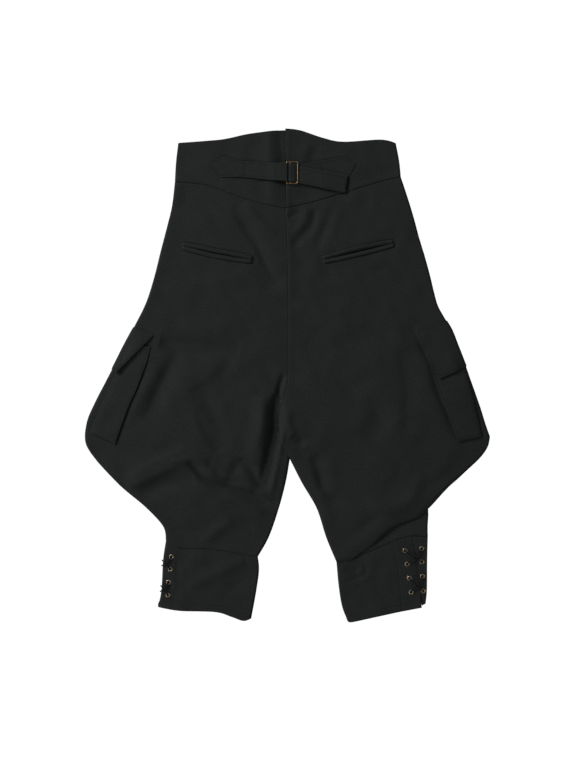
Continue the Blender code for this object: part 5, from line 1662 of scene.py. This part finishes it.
# %% Stitch lines
def inset_line(grid, away, edge, trim=0.0):
    """The line at a distance inside one edge of a grid, with the normals along it; trim shortens its ends."""
    normal = normals(grid)
    if edge in ("first_column", "last_column"):
        grid, normal = grid.swapaxes(0, 1), normal.swapaxes(0, 1)
    if edge in ("last_row", "last_column"):
        grid, normal = grid[::-1], normal[::-1]
    walked = np.pad(np.cumsum(np.linalg.norm(np.diff(grid, axis=0), axis=-1), 0), ((1, 0), (0, 0)))
    after = np.clip((walked < away).sum(0), 1, len(grid) - 1)
    col = np.arange(grid.shape[1])
    step = np.maximum(walked[after, col] - walked[after - 1, col], 1e-6)
    share = np.clip((away - walked[after - 1, col]) / step, 0, 1)[:, None]
    line = grid[after - 1, col] * (1 - share) + grid[after, col] * share
    up = unit(normal[after - 1, col] * (1 - share) + normal[after, col] * share)
    run = walked_along(line)
    keep = (run >= trim) & (run <= run[-1] - trim)
    return line[keep], up[keep]


def round_trim(grid, edges):
    """Lines inside the named edges, cut short so that they meet at the corners."""
    return [inset_line(grid, TRIM_STITCH, edge, TRIM_STITCH) for edge in edges]


def on_strap(line_and_up):
    """From a strap's middle out to its upper face."""
    line, up = line_and_up
    return line + up * STRAP_WALL / 2, up


# %% Stitch lines on leg, pockets and cuffs
ALL_ROUND = ("first_row", "last_row", "first_column", "last_column")
SLIT_EDGE_INSET, LACED_EDGE_INSET, WELT_STITCH = 3.0, 24, 1.3
lines = []
for side in ("left", "right"):
    cuff = PANELS["cuff_back_" + side]
    lines.append(inset_line(cuff, HEM_WIDTH - STITCH_INSET, "last_row", 2))
    lines += round_trim(TRIMS["cargo_flap_" + side], ALL_ROUND)
    lines += round_trim(TRIMS["cargo_pocket_" + side], ALL_ROUND[1:])
    line, normal, opening = slit_line(side)
    for sign in (1, -1):
        beside = on_face(line + normal * sign * (opening[:, None] + WELT_WIDTH + WELT_STITCH))
        lines.append((beside, np.tile((0.0, 0.0, 1.0), (len(beside), 1))))
lines.append(inset_line(PANELS["cuff_back_right"], SLIT_WIDTH - STITCH_INSET, "first_column", 1))
lines.append(inset_line(PANELS["cuff_back_right"], SLIT_EDGE_INSET, "first_column", 3))
lines.append(inset_line(PANELS["cuff_back_left"], LACED_EDGE_INSET, "first_column", 3))

# %% Stitch lines on the straps
FLAT_ROWS, TAIL_ROWS = 7 * STRAP_STEPS + 1, 6 * STRAP_STEPS  # sewn before the bar, and in the tail
tab, tail = TRIMS["cinch_tab_left"], TRIMS["cinch_strap_right"]
lines += [on_strap(line) for line in round_trim(tab[:FLAT_ROWS], ALL_ROUND)]
lines += [on_strap(line) for line in round_trim(tail[-TAIL_ROWS:], ALL_ROUND[1:])]
lines += [on_strap(line) for line in round_trim(tail[:FLAT_ROWS], ALL_ROUND)]
for name, places in CROSS_LINES.items():
    grid = TRIMS[name][:FLAT_ROWS]
    for x in places:
        row = np.abs(grid[:, grid.shape[1] // 2, 0] - x).argmin()
        lines.append(on_strap((grid[row, 2:-2], normals(grid)[row, 2:-2])))
lines = [(line, up) for line, up in lines if len(line) > 1]
print("lines of stitches:", len(lines))

# %% Stitches
STITCH, STITCH_GAP, THREAD_RADIUS, THREAD_SIDES = 2.7, 0.7, 0.24, 6
# Each ring of a stitch: how far along it, how high over the cloth, share of the thread's radius
STITCH_RINGS = np.array(((0, -0.25, 0.5), (0.15, 0.02, 0.95), (0.5, 0.14, 1), (0.85, 0.02, 0.95),
                         (1, -0.25, 0.5)))


def stitches(name, lines):
    """Every stitch of every line as an arched tube of five rings.

    Ring centres lie along the stitch, lifted by the arch along the cloth's normal. The cross product of
    the stitch's direction and the normal gives the third axis of each ring.
    """
    starts, ends, ups = [], [], []
    for line, up in lines:
        run = walked_along(line)
        at = np.arange(STITCH_GAP, run[-1] - STITCH, STITCH + STITCH_GAP)
        starts.append(np.column_stack([np.interp(at, run, line[:, i]) for i in range(3)]))
        ends.append(np.column_stack([np.interp(at + STITCH, run, line[:, i]) for i in range(3)]))
        ups.append(np.column_stack([np.interp(at, run, up[:, i]) for i in range(3)]))
    start, end, up = np.vstack(starts), np.vstack(ends), unit(np.vstack(ups))
    way = unit(end - start)
    across = unit(np.cross(way, up))
    share, arch, width = STITCH_RINGS.T[:, None, :, None]
    turn = np.linspace(0, 2 * np.pi, THREAD_SIDES, endpoint=False)
    centre = start[:, None] + (end - start)[:, None] * share + up[:, None] * arch
    ring = across[:, None, :] * np.cos(turn)[None, :, None] + up[:, None, :] * np.sin(turn)[None, :, None]
    co = centre[:, :, None] + ring[:, None] * (THREAD_RADIUS * width)[..., None]
    index = np.arange(co.size // 3).reshape(co.shape[:3])
    mesh = new_mesh(name, co.reshape(-1, 3), ring_quads(index[:, :-1], index[:, 1:]))
    finish_piece(name, mesh, THREAD, ())
    return len(start)


print("stitches:", stitches("sewing_thread", lines))

# %% [markdown]
# The close. The flat size and area of every piece of cloth are printed.

# %% Close
print("flat sizes, mm and square cm:", SHEETS)
